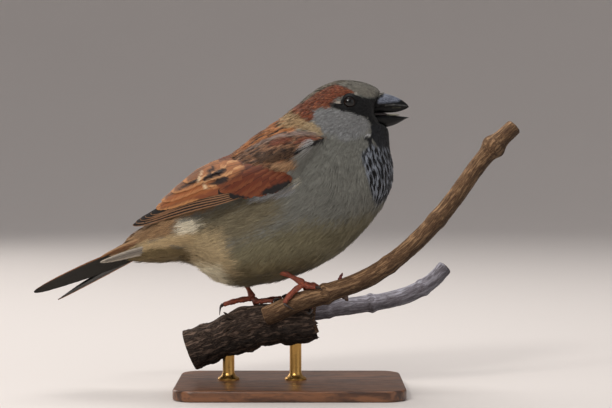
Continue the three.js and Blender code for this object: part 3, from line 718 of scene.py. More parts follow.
coatSet = {
    "tries": 3.2,  # places tried for each feather wanted
    "apart": 0.72,  # the least distance between two roots as a share of the guide's space
    "sway": 0.16,  # how far a feather turns out of the common lie
    "rows": 5,  # places along the line of a feather
    "strands": 9,
    "fan": 0.27,  # half width of a feather as a share of its length
    "thick": 0.17,  # half width of a strand
    "sunk": 0.12,  # how deep a root sits in the skin
    "strandVary": 0.09,
    "rootShade": 0.62,  # how much of its tone a feather keeps at its root
    "eyeGap": 3.0,
    "underWing": [(-27, 80), (-20, 71), (0, 74), (3, 80), (-2, 84.5), (-16, 86)],  # bare patch
    "wingDepth": 12,  # from the middle to that patch
    "wingFrom": -29,  # behind this, feathers stay off the face of the folded wing
    "wingGap": 2.0,
}
# where the coat is divided: a line below the head, the front, a line along the back and the rear
division = {"head": (0.25, 0.97, 101.0), "front": 12, "back": (0.42, 84), "rear": -30}
aside = 60  # a place well outside the bird, from which rays start inwards


# places for the roots, evenly scattered but closer where the guide says so
def scatterRoots(surface, rng):
    a, b, c = [surface.place[surface.corners[:, k]] for k in range(3)]
    area = np.linalg.norm(np.cross(b - a, c - a), axis=1) / 2
    space = guideAt((a + b + c) / 3)[2]
    wanted = area / space ** 2
    pick = rng.choice(len(area), int(wanted.sum() * coatSet["tries"]), p=wanted / wanted.sum())
    u, v = np.sqrt(rng.uniform(size=len(pick))), rng.uniform(size=len(pick))
    share = np.stack([1 - u, u * (1 - v), u * v], axis=1)
    place = sum(share[:, k:k + 1] * surface.place[surface.corners[pick, k]] for k in range(3))
    tree = KDTree(len(place))
    for i, p in enumerate(place):
        tree.insert(p, i)
    tree.balance()
    radius = space[pick] * coatSet["apart"]
    alive = np.ones(len(place), bool)
    for i, p in enumerate(place):
        if alive[i]:
            for _, j, _ in tree.find_range(p, radius[i]):
                if j > i:
                    alive[j] = False
    return place[alive], pick[alive], share[alive]


# which feathers of the coat would lie over the flight feathers of the folded wing
def overWing(path, blade):
    over = np.zeros(path.shape[:2], bool)
    for i, row in enumerate(path):
        for k, p in enumerate(row[1:]):
            if p[0] < coatSet["wingFrom"]:
                hit = blade.tree.ray_cast(Vector((p[0], aside, p[2])), Vector((0, -1, 0)))[0]
                over[i, k] = hit is not None and abs(p[1]) > hit[1] - coatSet["wingGap"]
    return over.any(axis=1)


# the line of each feather's shaft along the skin, from its root
def layCoat(surface, uv, blade, rng):
    root, pick, share = scatterRoots(surface, rng)
    bare = np.zeros(len(root), bool)
    for side in (-1, 1):
        bare |= np.linalg.norm(root - np.array(eye["place"]) * [1, side, 1], axis=1) < coatSet["eyeGap"]
    hidden = insideBy(coatSet["underWing"], root) > 2
    bare |= hidden & (np.abs(root[:, 1]) > coatSet["wingDepth"])
    root, pick, share = root[~bare], pick[~bare], share[~bare]
    patch = sum(share[:, k:k + 1] * uv[surface.loops[pick, k]] for k in range(3))
    length, _, height = guideAt(root)[1:]
    count = len(root)
    length = length * rng.uniform(0.8, 1.15, count)
    rows = coatSet["rows"]
    path = [root]
    out = [surface.smooth[pick]]
    here = root
    turnBy = rng.normal(size=count) * coatSet["sway"]
    for _ in range(rows - 1):
        way = guideAt(here)[0]
        normal = out[-1]
        way = unit(way - normal * (way * normal).sum(axis=1, keepdims=True))
        way = unit(way + np.cross(normal, way) * turnBy[:, None])
        here, normal = surface.nearest(here + way * (length / (rows - 1))[:, None])
        path.append(here)
        out.append(normal)
    path, out = np.stack(path, axis=1), np.stack(out, axis=1)
    # a feather that would fold over an edge or pile up in a hollow is left out
    turns = (out[:, 1:] * out[:, :-1]).sum(axis=2).min(axis=1)
    moved = np.linalg.norm(np.diff(path, axis=1), axis=2).min(axis=1) * (rows - 1) / length
    even = (turns > 0.45) & (moved > 0.4) & ~overWing(path, blade)
    coat = {"path": path, "out": out, "length": length, "height": height, "patch": patch}
    return {key: value[even] for key, value in coat.items()}


# Short dark bristles that reach from the face over the root of the bill. The tables say how far
# the bill stands out sideways, up, down and under its middle along x.
bristleSet = {
    "count": 130,
    "start": (31.0, 33.4),  # at the sides and over the ridge
    "middle": (106.8, 100.8),  # of the upper and the lower half
    "wide": ([29, 33, 37], [4.5, 3.9, 2.9]),
    "rise": ([31, 35, 39], [4.0, 3.9, 3.2]),
    "drop": ([31, 35, 39], [3.6, 3.6, 3.0]),
    "low": ([31, 35, 39], [3.2, 3.0, 2.0]),
    "height": 0.25,
}


def layBristles(rng):
    count = bristleSet["count"]
    angle = rng.uniform(-0.5 * np.pi, 0.5 * np.pi, count)
    lower = rng.uniform(size=count) < 0.4
    way = np.where(rng.uniform(size=count) < 0.5, -1, 1)
    length = np.where(lower, 1.9, 1.2 + 1.0 * np.cos(angle)) * rng.uniform(0.7, 1.15, count)
    side, ridge = bristleSet["start"]
    start = side + (ridge - side) * np.maximum(np.sin(angle), 0) ** 2 + rng.uniform(-1.2, 0.4, count)
    path, out = [], []
    upperMiddle, lowerMiddle = bristleSet["middle"]
    for step in range(coatSet["rows"]):
        x = start + length * step / (coatSet["rows"] - 1)
        near = np.stack([np.interp(x, *bristleSet[key]) for key in ("wide", "rise", "drop", "low")])
        high = upperMiddle + np.sin(angle) * np.where(angle > 0, near[1], near[2]) * np.where(lower, 0, 1)
        low = lowerMiddle - np.abs(np.sin(angle)) * near[3]
        wide = way * np.cos(angle) * near[0]
        path.append(np.stack([x, wide, np.where(lower, low, high)], axis=1))
        tilt = np.where(lower, -np.abs(np.sin(angle)), np.sin(angle))
        out.append(unit(np.stack([0.25 + 0 * x, way * np.cos(angle), tilt], axis=1)))
    patch = 0.02 + 0.96 * np.stack([rng.uniform(size=count), rng.uniform(size=count)], axis=1)
    return {"path": np.stack(path, axis=1), "out": np.stack(out, axis=1), "length": length,
            "height": bristleSet["height"] + 0 * length, "patch": patch}


# loose pale feathers over the bend of the wing and its lower edge: a line in the side view and its tone
wisps = [
    {"line": [(9.4, 92.8), (6.6, 92.0), (3.0, 89.6)], "tone": (190, 188, 186)},
    {"line": [(9.0, 92.0), (5.8, 90.6), (1.8, 87.4)], "tone": (164, 162, 160)},
    {"line": [(8.2, 90.8), (5.0, 88.8), (1.6, 86.2)], "tone": (150, 148, 144)},
    {"line": [(6.8, 88.2), (3.2, 86.6), (-0.6, 84.2)], "tone": (128, 126, 120)},
    {"line": [(6.4, 84.6), (3.0, 82.8), (-0.8, 80.6)], "tone": (128, 126, 118)},
    {"line": [(6.2, 79.6), (2.4, 77.8), (-1.4, 75.2)], "tone": (184, 176, 158)},
    {"line": [(4.4, 77.8), (0.2, 76.2), (-4.0, 74.2)], "tone": (156, 150, 138)},
    {"line": [(0.4, 75.6), (-4.6, 74.0), (-9.6, 72.8)], "tone": (150, 146, 138)},
]
wispSet = {"height": 2.2, "fan": 0.2, "thick": 0.07}


def layWisps(surface):
    path, out, tone = [], [], []
    for wisp in wisps:
        for side in (-1, 1):
            at = smoothLine([(x, side * aside, z) for x, z in wisp["line"]])
            spots = at(np.linspace(0, 1, coatSet["rows"]))
            hits = [surface.tree.ray_cast(Vector(p), Vector((0, -side, 0))) for p in spots]
            path.append([hit[0] for hit in hits])
            out.append([surface.smooth[hit[2]] for hit in hits])
            tone.append(paint(*wisp["tone"]))
    path = np.array(path)
    length = np.linalg.norm(path[:, -1] - path[:, 0], axis=1)
    patch = np.stack([0.03 + 0.01 * np.arange(len(path)), 0.97 + 0 * length], axis=1)
    return {**wispSet, "path": path, "out": np.array(out), "length": length, "patch": patch,
            "height": wispSet["height"] + 0 * length, "tone": np.array(tone)}


# Each feather of the coat is a fan of fine strands that lies along the skin.
def strandMesh(name, coat, chosen, rng):
    path, out = coat["path"][chosen], coat["out"][chosen]
    long, height = [coat[key][chosen][:, None, None] for key in ("length", "height")]
    count, rows, strands = len(path), 4, coatSet["strands"]
    spread = np.linspace(-1, 1, strands)
    a = spread[None, :] + rng.normal(size=(count, strands)) * 0.1
    reach = (1 - 0.22 * a ** 2) * rng.uniform(0.8, 1.06, (count, strands))
    t = np.linspace(0, 1, rows)[None, None, :] * reach[:, :, None]
    spot = np.clip(t * (coatSet["rows"] - 1), 0, coatSet["rows"] - 1.001)
    low = spot.astype(int)
    share = (spot - low)[..., None]
    each = np.arange(count)[:, None, None]
    centre = path[each, low] * (1 - share) + path[each, low + 1] * share
    normal = unit(out[each, low] * (1 - share) + out[each, low + 1] * share)
    along = unit(path[each, low + 1] - path[each, low])
    side = unit(np.cross(normal, along))
    opening = 0.35 + 0.65 * np.sin(np.pi * np.minimum(t, 0.75) / 1.5) ** 0.8
    fan = coat.get("fan", coatSet["fan"]) * long * opening
    curl = rng.normal(size=(count, strands, 1)) * 0.05 * long * t ** 2
    lift = rng.uniform(0.75, 1.2, (count, 1, 1)) * height
    fluff = rng.uniform(-0.12, 0.16, (count, strands, 1)) * height
    rise = -coatSet["sunk"] + (lift + fluff) * t ** 0.8 * (1 - 0.12 * a[:, :, None] ** 2)
    middle = centre + side * (a[:, :, None] * fan + curl)[..., None] + normal * rise[..., None]
    thick = coat.get("thick", coatSet["thick"]) * (0.45 + 0.55 * np.minimum(long / 5, 1))
    thick = (thick * (1 - 0.85 * (t / reach[:, :, None]) ** 2.2))[..., None]
    tilt = rng.normal(size=(count, strands, 1)) * 0.35
    ribbon = unit(side + normal * tilt[..., None])
    place = np.stack([middle - ribbon * thick, middle + ribbon * thick], axis=3).reshape(-1, 3)
    facing = unit(normal + along * -0.16 * (t[..., None] > 0) + side * a[:, :, None, None] * 0.28)
    facing = np.repeat(facing.reshape(-1, 3), 2, axis=0)
    look = markFeathers(((middle[:, :, 2] + middle[:, :, 3]) / 2).reshape(-1, 3), rng)
    look = {key: value.reshape(count, strands, 1, -1) for key, value in look.items()}
    if "tone" in coat:
        look["tone"] = coat["tone"][:, None, None, :] * np.ones((1, strands, 1, 1))
        look["coreAmount"] = look["tipAmount"] = np.zeros((1, 1, 1, 1))
    shade = look["tone"] * np.ones((1, 1, rows, 1))
    picked = (rng.uniform(size=(count, 1, 1, 1)) < look["some"]) * look["coreAmount"]
    coreMask = ease(0.62, 0.3, np.abs(a))[:, :, None] * ease(0.15, 0.4, t)
    shade = shade + coreMask[..., None] * picked * (look["core"] - shade)
    tipMask = ease(0.62, 0.95, t + 0.2 * np.abs(a)[:, :, None])[..., None] * look["tipAmount"]
    shade = shade + tipMask * (look["tip"] - shade)
    dark = coatSet["rootShade"]
    shade = shade * (1 + rng.normal(size=(count, strands, 1, 1)) * coatSet["strandVary"])
    shade = shade * (dark + (1 - dark) * ease(0.0, 0.6, t))[..., None]
    shade = np.repeat(shade.reshape(-1, 3), 2, axis=0)
    base = (np.arange(count * strands) * rows * 2)[:, None, None]
    step = (np.arange(rows - 1) * 2)[None, :, None]
    quads = (base + step + np.array([0, 2, 3, 1])[None, None, :]).reshape(-1, 4)
    mesh = quadMesh(name, place, quads)
    colourPoints(mesh, "tone", shade)
    patch = coat["patch"][chosen][:, None, None, :] + 0.0015 * np.stack(
        [np.broadcast_to(a[:, :, None], t.shape), 2 * t - 1], axis=-1)
    apart = np.tile([[-0.0001, 0], [0.0001, 0]], (patch.size // 2, 1))
    mapCorners(mesh, "OFBake", np.repeat(patch.reshape(-1, 2), 2, axis=0) + apart, quads)
    mesh.shade_smooth()
    mesh.normals_split_custom_set_from_vertices(facing.tolist())
    return mesh


def makeCoat(skin, blade):
    rng = np.random.default_rng(29)
    surface = Surface(skin.data)
    uv = valuesOf(skin.data.uv_layers["OFBake"].data, "uv", 2)
    coat = layCoat(surface, uv, blade, rng)
    x, y, z = coat["path"][:, 0].T
    forward, upward, over = division["head"]
    slope, height = division["back"]
    head = (x * forward + z * upward) > over
    front = ~head & (x > division["front"])
    back = ~head & ~front & (z > slope * x + height)
    rear = ~head & ~front & ~back & (x < division["rear"])
    sides = ~(head | front | back | rear)
    for name, extra in (("bristles", layBristles(rng)), ("wisps", layWisps(surface))):
        addPiece(name, strandMesh(name, extra, slice(None), rng), plumage, "plumage")
    right, left = y < 0, y >= 0
    groups = {"coat_head_right": head & right, "coat_head_left": head & left,
              "coat_breast_right": front & right, "coat_breast_left": front & left, "coat_back": back,
              "coat_rump": rear, "coat_flank_right": sides & right, "coat_flank_left": sides & left}
    for name, chosen in groups.items():
        mesh = strandMesh(name, coat, chosen, rng)
        print(name, int(chosen.sum()), "feathers", len(mesh.polygons) * 2, "triangles")
        addPiece(name, mesh, plumage, "plumage")


# the eye, and the ring of bare skin round it as distance from its middle and height
eye = {
    "place": (21.7, 8.5, 106.9),
    "radius": 2.65,
    "pupil": 1.25,
    "iris": 2.0,
    "lid": [(1.98, 1.62), (2.04, 1.82), (2.2, 1.9), (2.38, 1.78), (2.6, 1.44), (3.0, 0.9), (3.4, 0.1)],
}


def makeEyes():
    material, tree, shader = newMaterial("eyeGlass", Roughness=0.03, Specular_IOR_Level=0.4)
    place = objectPlace(tree)
    soft = mottled(tree, attribute(tree, "tone"), place, 2600.0, 0.3)
    finishWith(tree, shader, soft["Color"])
    lidStuff, tree, shader = newMaterial("eyelid", Roughness=0.75, Specular_IOR_Level=0.2)
    place = objectPlace(tree)
    soft = mottled(tree, rgba(15, 14, 15), place, 3200.0, 0.6)
    finishWith(tree, shader, soft["Color"], soft["Mask"], 0.5, 0.0002)
    for name, side in (("right", -1), ("left", 1)):
        x, y, z = eye["place"]
        bm = bmesh.new()
        bmesh.ops.create_uvsphere(bm, u_segments=48, v_segments=32, radius=eye["radius"])
        bmesh.ops.rotate(bm, verts=bm.verts, matrix=Matrix.Rotation(math.radians(90 * -side), 3, "X"))
        local = np.array([v.co for v in bm.verts])
        off = np.hypot(local[:, 0], local[:, 2])
        shade = np.where((off < eye["pupil"])[:, None], paint(4, 4, 4), paint(26, 15, 10))
        shade = np.where((off > eye["iris"])[:, None], paint(9, 8, 8), shade)
        setDown(bm, (x, side * y, z))
        mesh = meshOf(bm, "eye")
        colourPoints(mesh, "tone", shade)
        addPiece("eyeball_" + name, mesh, material, "eye", "eye_" + name)
        bm = spun([(r, side * out, 0) for r, out in eye["lid"]], (0, 1, 0), 56)
        for vert in bm.verts:
            angle = math.atan2(vert.co.z, vert.co.x)
            bead = 1 + 0.018 * math.sin(angle * 22) - 0.03 * math.cos(2 * angle)
            vert.co = Vector((vert.co.x * bead * 1.02, vert.co.y, vert.co.z * bead * 0.97))
        bmesh.ops.recalc_face_normals(bm, faces=bm.faces)
        outer = max(bm.faces, key=lambda f: side * f.calc_center_median().y)
        if outer.normal.y * side < 0:
            bmesh.ops.reverse_faces(bm, faces=bm.faces)
        setDown(bm, (x, side * y, z))
        addPiece("eyelid_" + name, meshOf(bm, "eyelid"), lidStuff, "eye")


# Each half of the bill tapers from its root to its point as (1 - t ** a) ** b. 'half' is its
# width, rise and drop at the root; a relief is where round the bill, how wide and how high.
bill = {
    "upper": {"line": [(27, 0, 106.6), (33.5, 0, 106.9), (39.5, 0, 106.2), (44.0, 0, 105.5)],
              "half": (4.5, 3.8, 3.6), "taper": ((1.5, 0.9), (3.0, 0.75), (4.0, 0.9)),
              "relief": ((1.57, 0.3, 0.16), (0.95, 0.4, -0.42), (-0.12, 0.16, 0.2), (-0.62, 0.35, -0.5))},
    "lower": {"line": [(27, 0, 100.9), (33.5, 0, 100.9), (39.8, 0, 101.2), (44.2, 0, 101.6)],
              "half": (4.2, 1.9, 3.1), "taper": ((1.6, 0.9), (2.2, 0.9), (4.5, 2.0)),
              "relief": ((-1.57, 0.3, 0.1), (-0.9, 0.4, -0.25), (0.3, 0.2, 0.12))},
    "tongue": [(31.0, 0, 102.5), (36.0, 0, 102.6), (40.6, 0, 102.6)],
    "gape": [(28.5, 0, 102.9), (32, 0, 102.8), (36.5, 0, 102.6)],
    "nostril": {"place": (33.2, 2.6, 108.6), "long": 0.8, "high": 0.45, "deep": 0.45},
    "tone": (8, 8, 9),
    # the marks are painted highlights: a blue-grey sheen over the ridge, pale lines along the cutting edges
    # and a lighter upper edge of the lower half
    "marks": [
        {"tone": (128, 134, 149), "soft": 1.1,
         "outline": [(32, 106.7), (33.6, 112), (37.6, 111.4), (41.4, 108.6), (40.0, 107.5),
                     (36.5, 107.1)]},
        {"tone": (92, 92, 90), "soft": 0.25,
         "outline": [(35.0, 106.1), (38, 106.5), (43.2, 106.2), (43.2, 105.8), (38, 106.1),
                     (35.0, 105.7)]},
        {"tone": (66, 66, 54), "soft": 0.3,
         "outline": [(37.6, 105.4), (41, 105.5), (41, 105.1), (37.6, 104.9)]},
        {"tone": (36, 36, 38), "soft": 0.7,
         "outline": [(32, 102.9), (37.8, 102.5), (37.8, 101.5), (32, 101.8)]},
    ],
}


def makeBill():
    horn, tree, shader = newMaterial("billHorn", Specular_IOR_Level=0.22)
    straight = attribute(tree, "straight", "Vector")
    line = useGroup(tree, furrows, {"Light": rgba(255, 255, 255), "Dark": rgba(120, 120, 124),
                                    "Vector": straight, "Scale": 2.2, "Stretch": 0.35, "Crack": 0.25})
    colour = mixed(tree, 1.0, attribute(tree, "tone"), line["Color"], "MULTIPLY")
    rough = mapped(tree, line["Height"], 0.4, 1.1, 0.3, 0.46)
    finishWith(tree, shader, colour, line["Height"], 0.16, 0.0002, rough)
    for name in ("upper", "lower"):
        part = bill[name]

        def section(t, part=part):
            pairs = zip(part["half"], part["taper"])
            return [size * np.maximum(0, 1 - t ** a) ** b for size, (a, b) in pairs]

        def relief(t, turn, part=part):
            tilt = np.arctan2(np.sin(turn), np.abs(np.cos(turn)))
            bumps = sum(high * np.exp(-((tilt - where) / wide) ** 2) for where, wide, high in part["relief"])
            return bumps * np.maximum(0, 1 - t ** 3) * ease(0, 0.1, t)

        bm = drawnAlong(part["line"], section, skyward, 56, 56, 0.05, relief)
        if name == "upper":
            pit = bill["nostril"]
            for vert in bm.verts:
                for side in (-1, 1):
                    gap = (Vector(np.array(pit["place"]) * [1, side, 1]) * mm - vert.co) / mm
                    hollow = math.exp(-(gap.x / pit["long"]) ** 2 - (gap.z / pit["high"]) ** 2)
                    vert.co.y -= side * pit["deep"] * hollow * mm
        mesh = meshOf(bm, "bill")
        place = np.array([v.co for v in mesh.vertices]) / mm
        shade = np.tile(paint(*bill["tone"]), (len(place), 1))
        # paints the highlights of the marks over the dark horn
        for mark in bill["marks"]:
            depth = insideBy(mark["outline"], place)
            shade += ease(-0.5, 0.5, depth / mark["soft"])[:, None] * (paint(*mark["tone"]) - shade)
        colourPoints(mesh, "tone", shade)
        addPiece("bill_" + name + "_horn", mesh, horn, "bill", "bill_" + name)
    flesh, tree, shader = newMaterial("mouthFlesh", Roughness=0.4)
    place = objectPlace(tree)
    # painted shade: the mouth darkens from its front, where light falls in, to deep inside
    paintedMouthShade = mapped(tree, put(tree, "SeparateXYZ", {0: place}).outputs[0], 0.035, 0.038)
    tint = mixed(tree, paintedMouthShade, rgba(38, 32, 32), rgba(150, 148, 132))
    soft = mottled(tree, tint, place, 1500.0, 0.4)
    finishWith(tree, shader, soft["Color"], soft["Mask"], 0.4, 0.0001)

    def tongueSection(t):
        return 1.5 * (1 - 0.5 * t), 0.35, 0.35

    def gapeSection(t):
        return 3.7 - 1.4 * t, 1.2 - 0.7 * t, 1.0 - 0.5 * t

    bm = drawnAlong(bill["tongue"], tongueSection, skyward, 20, 20, 0.2)
    addPiece("tongue_flesh", meshOf(bm, "tongue"), flesh, "mouth", "tongue")
    bm = drawnAlong(bill["gape"], gapeSection, skyward, 24, 16, 0.2)
    addPiece("gape", meshOf(bm, "gape"), flesh, "mouth")


# The folded wing is a curved blade between two edges, given from the bend to the tip.
wing = {
    "upper": [(13, 17, 93.8), (0, 13.4, 97.6), (-17, 7.6, 90.6), (-34, 4.4, 82.6), (-47.4, 3.8, 71.4),
              (-58.4, 3.8, 62.1)],
    "lower": [(13, 17, 93.8), (2.5, 21.6, 80.5), (-9, 21.8, 73.5), (-26, 17, 68.6), (-43, 9.4, 63.6),
              (-58.4, 3.8, 62.1)],
    "swell": 5.2,
    "thick": (1.35, 0.5),
    "tuck": 4.0,  # how far the upper edge is drawn in over the back
    "halfWay": 12,  # where a place beyond the blade's edges looks for it from
}


# the outer face of the blade on the left side, as a surface to lay vanes on
def wingSurface():
    rows, columns = 70, 30
    t = np.repeat(np.linspace(0, 1, rows), columns)
    a = np.tile(np.linspace(1, -1, columns), rows)
    top, bottom = smoothLine(wing["upper"], False)(t), smoothLine(wing["lower"], False)(t)
    outward = unit(np.stack([0 * a, 1 + 0 * a, 0.35 * (1 - a)], axis=1))
    thick = wing["thick"][0] * (1 - t) + wing["thick"][1] * t
    swell = wing["swell"] * np.sin(np.pi * np.minimum(1, t * 1.15)) * (1 - a * a)
    place = top + (bottom - top) * ((1 - a) / 2)[:, None] + outward * (swell + thick)[:, None]
    nearBack = np.maximum(ease(0.5, 1.0, a), 0.7 * ease(0.7, 1.0, t))
    place[:, 1] -= wing["tuck"] * nearBack * ease(0.2, 0.4, t)
    bm = bmesh.new()
    bmesh.ops.create_grid(bm, x_segments=columns - 1, y_segments=rows - 1, size=1.0)
    order = sorted(bm.verts, key=lambda v: (round(v.co.y, 5), round(v.co.x, 5)))
    for vert, p in zip(order, place):
        vert.co = Vector(p) * mm
    bmesh.ops.recalc_face_normals(bm, faces=bm.faces)
    besideWing = Vector((-10, 25, 80)) * mm
    middle = min(bm.faces, key=lambda f: (f.calc_center_median() - besideWing).length)
    if middle.normal.y < 0:
        bmesh.ops.reverse_faces(bm, faces=bm.faces)
    mesh = meshOf(bm, "blade")
    blade = Surface(mesh)
    bpy.data.meshes.remove(mesh)
    return blade


# a bag of vanes that becomes one mesh
class Vanes:
    def __init__(self):
        self.kept = []
        self.count = 0

    def add(self, rows, columns, **values):
        grid = self.count + np.arange(rows * columns).reshape(rows, columns)
        corners = [grid[:-1, :-1], grid[:-1, 1:], grid[1:, 1:], grid[1:, :-1]]
        self.count += rows * columns
        self.kept.append({"quads": np.stack(corners, axis=-1).reshape(-1, 4), **values})

    def mesh(self, name, side=1):
        joined = {key: np.concatenate([vane[key] for vane in self.kept]) for key in self.kept[0]}
        quads = joined["quads"]
        if side < 0:
            quads = quads[:, ::-1]
        mesh = quadMesh(name, joined["place"] * [1, side, 1], quads)
        colourPoints(mesh, "tone", joined["tone"])
        colourPoints(mesh, "rim", joined["rim"])
        mesh.attributes.new("edge", "FLOAT", "POINT").data.foreach_set("value", joined["edge"])
        mapCorners(mesh, "vane", joined["vane"], quads)
        mapCorners(mesh, "OFBake", joined["patch"], quads)
        return mesh


# Lays one vane. 'face' turns places beside its shaft into places and normals on the bird, 'lead'
# shares the width between its two sides, and 'slot' is its place on the baked map.
def addVane(bag, rng, line, width, face, tone, rim, rimWidth=0.3, lift=0.0, tipLift=0.1, blunt=0.16,
            lead=0.8, camber=0.1, slot=(0.5, 0.5), rims=(1.0, 1.0), tipRim=1.0, soft=0.5, point=2.2,
            tilt=0.06, sink=0.0, marks=()):
    rows, columns = 40, 15
    c = np.sin(np.linspace(-0.5, 0.5, columns) * np.pi)
    t = 1 - (1 - np.linspace(0, 1, rows)) ** 1.7
    at = smoothLine(line)
    centre = at(t)
    along = heading(at, t)
    shape = 0.55 + 0.45 * ease(0, 0.3, t)
    tip = np.clip((t - (1 - blunt)) / blunt, 0, 1)
    shape = shape * np.sqrt(np.maximum(0, 1 - tip ** point))
    ragged = 1 + rng.normal(size=(rows, 1)) * 0.06 * soft
    half = width / 2 * shape[:, None] * np.where(c < 0, lead, 2 - lead)[None, :]
    half = half * np.where(np.abs(c) > 0.8, ragged, 1)
    across = c[None, :] * half
    place, normal = face(centre, along, across)
    bow = camber * (1 - c[None, :] ** 2) + lift + tipLift * t[:, None] ** 2 + tilt * c[None, :]
    bow = bow + rng.normal(size=(rows, 1)) * 0.02 - sink * ease(0.45, 0.0, t)[:, None]
    place = place + normal * bow[..., None]
    length = at.length
    start = slot[0] * 900  # each vane has its own stretch of the streaks
    reach = np.broadcast_to((t * length + start)[:, None], across.shape)
    sideways = np.where(c < 0, -c * rims[0], c * rims[1])[None, :] * np.ones((rows, 1))
    near = np.maximum(sideways, ease(1 - 1.6 * width / length, 1.0, t)[:, None] ** 2 * tipRim)
    edge = (near - (1 - rimWidth)) / soft + 0.5
    patch = np.stack(np.meshgrid(slot[0] + c * 0.02, slot[1] + 0.09 * (t - 0.5)), axis=-1)
    place = place.reshape(-1, 3)
    tone, rim = [np.tile(paint(*shade), (len(place), 1)) for shade in (tone, rim)]
    for mark in marks:
        depth = insideBy(mark["outline"], place) + ripple(place, 1.6, 4) * 0.25
        mask = ease(-0.5, 0.5, depth / mark["soft"])[:, None]
        tone += mask * (paint(*mark["tone"]) - tone)
        rim += mask * (paint(*mark.get("rim", mark["tone"])) - rim)
    bag.add(rows, columns, place=place, vane=np.stack([across, reach], axis=-1).reshape(-1, 2),
            edge=edge.ravel(), tone=tone, rim=rim, patch=patch.reshape(-1, 2))


# for vanes that lie flat: the way across them and the way they face
def onPlane(across, normal):
    def face(centre, along, offset):
        return centre[:, None] + across * offset[..., None], np.broadcast_to(normal, (*offset.shape, 3))
    return face


# for vanes given in the side view, which lie on the folded wing
def onBlade(blade):
    upperX, _, upperZ = np.array(wing["upper"])[::-1].T

    def face(centre, along, offset):
        side = unit(np.stack([-along[:, 2], 0 * along[:, 0], along[:, 0]], axis=1))
        spots = centre[:, None, :] + side[:, None, :] * offset[..., None]
        flat = spots.reshape(-1, 3)
        place = flat.copy()
        normal = np.zeros_like(flat)
        for i, p in enumerate(flat):
            hit, _, index, _ = blade.tree.ray_cast(Vector((p[0], aside, p[2])), Vector((0, -1, 0)))
            if hit is None:
                hit, _, index, _ = blade.tree.find_nearest(Vector((p[0], wing["halfWay"], p[2])))
            place[i, 1] = hit[1]
            normal[i] = blade.smooth[index]
        below = np.interp(place[:, 0], upperX, upperZ) - place[:, 2]
        normal = unit(normal * [0.6, 1, 0.6]) * ease(-1.5, 3.0, below)[:, None]
        return place.reshape(spots.shape), normal.reshape(spots.shape)
    return face


# darker and paler patches of the wing, painted in this order
wingMarks = [
    {"tone": (152, 90, 50), "rim": (170, 112, 70), "soft": 1.8,
     "outline": [(-48.6, 68.2), (-44.4, 72.4), (-38.9, 75.0), (-33.3, 77.0), (-26, 76.9), (-25, 75.0),
                 (-31, 73.2), (-38.3, 71.0), (-44.4, 69.0)]},
    {"tone": (126, 70, 42), "soft": 1.0,
     "outline": [(-36, 72.0), (-26, 75.6), (-24, 75.6), (-24, 73), (-31, 71.6)]},
    {"tone": (98, 44, 22), "rim": (116, 62, 34), "soft": 2.4,
     "outline": [(-24, 73.4), (-21, 78.6), (-14.8, 82), (-7.4, 83), (1.5, 82), (1, 78), (-8.6, 75),
                 (-14.8, 72.8), (-21, 73.4)]},
    {"tone": (150, 96, 58), "rim": (190, 140, 96), "soft": 1.2,
     "outline": [(-33, 78), (-31, 84), (-20, 87), (-16, 83), (-22, 78.6), (-28, 76)]},
    {"tone": (24, 20, 20), "soft": 0.7,
     "outline": [(-9.8, 75.0), (-4.9, 77.3), (0.2, 78.8), (0.8, 77.4), (-2.5, 75.0), (-6.2, 73.6),
                 (-9.8, 73.4)]},
    {"tone": (24, 20, 20), "soft": 0.7,
     "outline": [(-24.0, 73.3), (-21.6, 74.2), (-17.3, 73.2), (-14.2, 72.7), (-18.5, 71.0),
                 (-22.2, 70.0), (-24, 71)]},
    {"tone": (38, 27, 24), "soft": 0.6,
     "outline": [(-29.9, 81.9), (-28.1, 83.6), (-26.4, 83.6), (-27.5, 82.0), (-29.3, 81)]},
    {"tone": (38, 27, 24), "soft": 0.6,
     "outline": [(-31.7, 78.8), (-30.2, 80.3), (-24.1, 83.0), (-22.4, 82.9), (-23.6, 81.1),
                 (-28.4, 79.2), (-30.9, 78.2)]},
    {"tone": (40, 28, 25), "soft": 0.6,
     "outline": [(-28.8, 77.4), (-25.3, 79.7), (-21.8, 80.1), (-22.0, 78.8), (-24.1, 77.4),
                 (-27.2, 76.9)]},
    {"tone": (40, 29, 26), "soft": 0.7,
     "outline": [(-40.6, 75.2), (-37.4, 77.5), (-33.2, 79.4), (-32.9, 78.7), (-34.2, 77.9),
                 (-37.2, 76.5), (-40.2, 74.9)]},
    {"tone": (206, 180, 146), "soft": 0.5,
     "outline": [(-33.4, 77.9), (-33.2, 79.5), (-32.3, 81.4), (-31.2, 82.2), (-31.6, 81.2),
                 (-32.3, 79.5), (-32.7, 77.9)]},
    {"tone": (214, 186, 150), "soft": 0.5,
     "outline": [(-31.2, 77.3), (-30.3, 77.6), (-29.6, 75.9), (-30.8, 75.6)]},
]
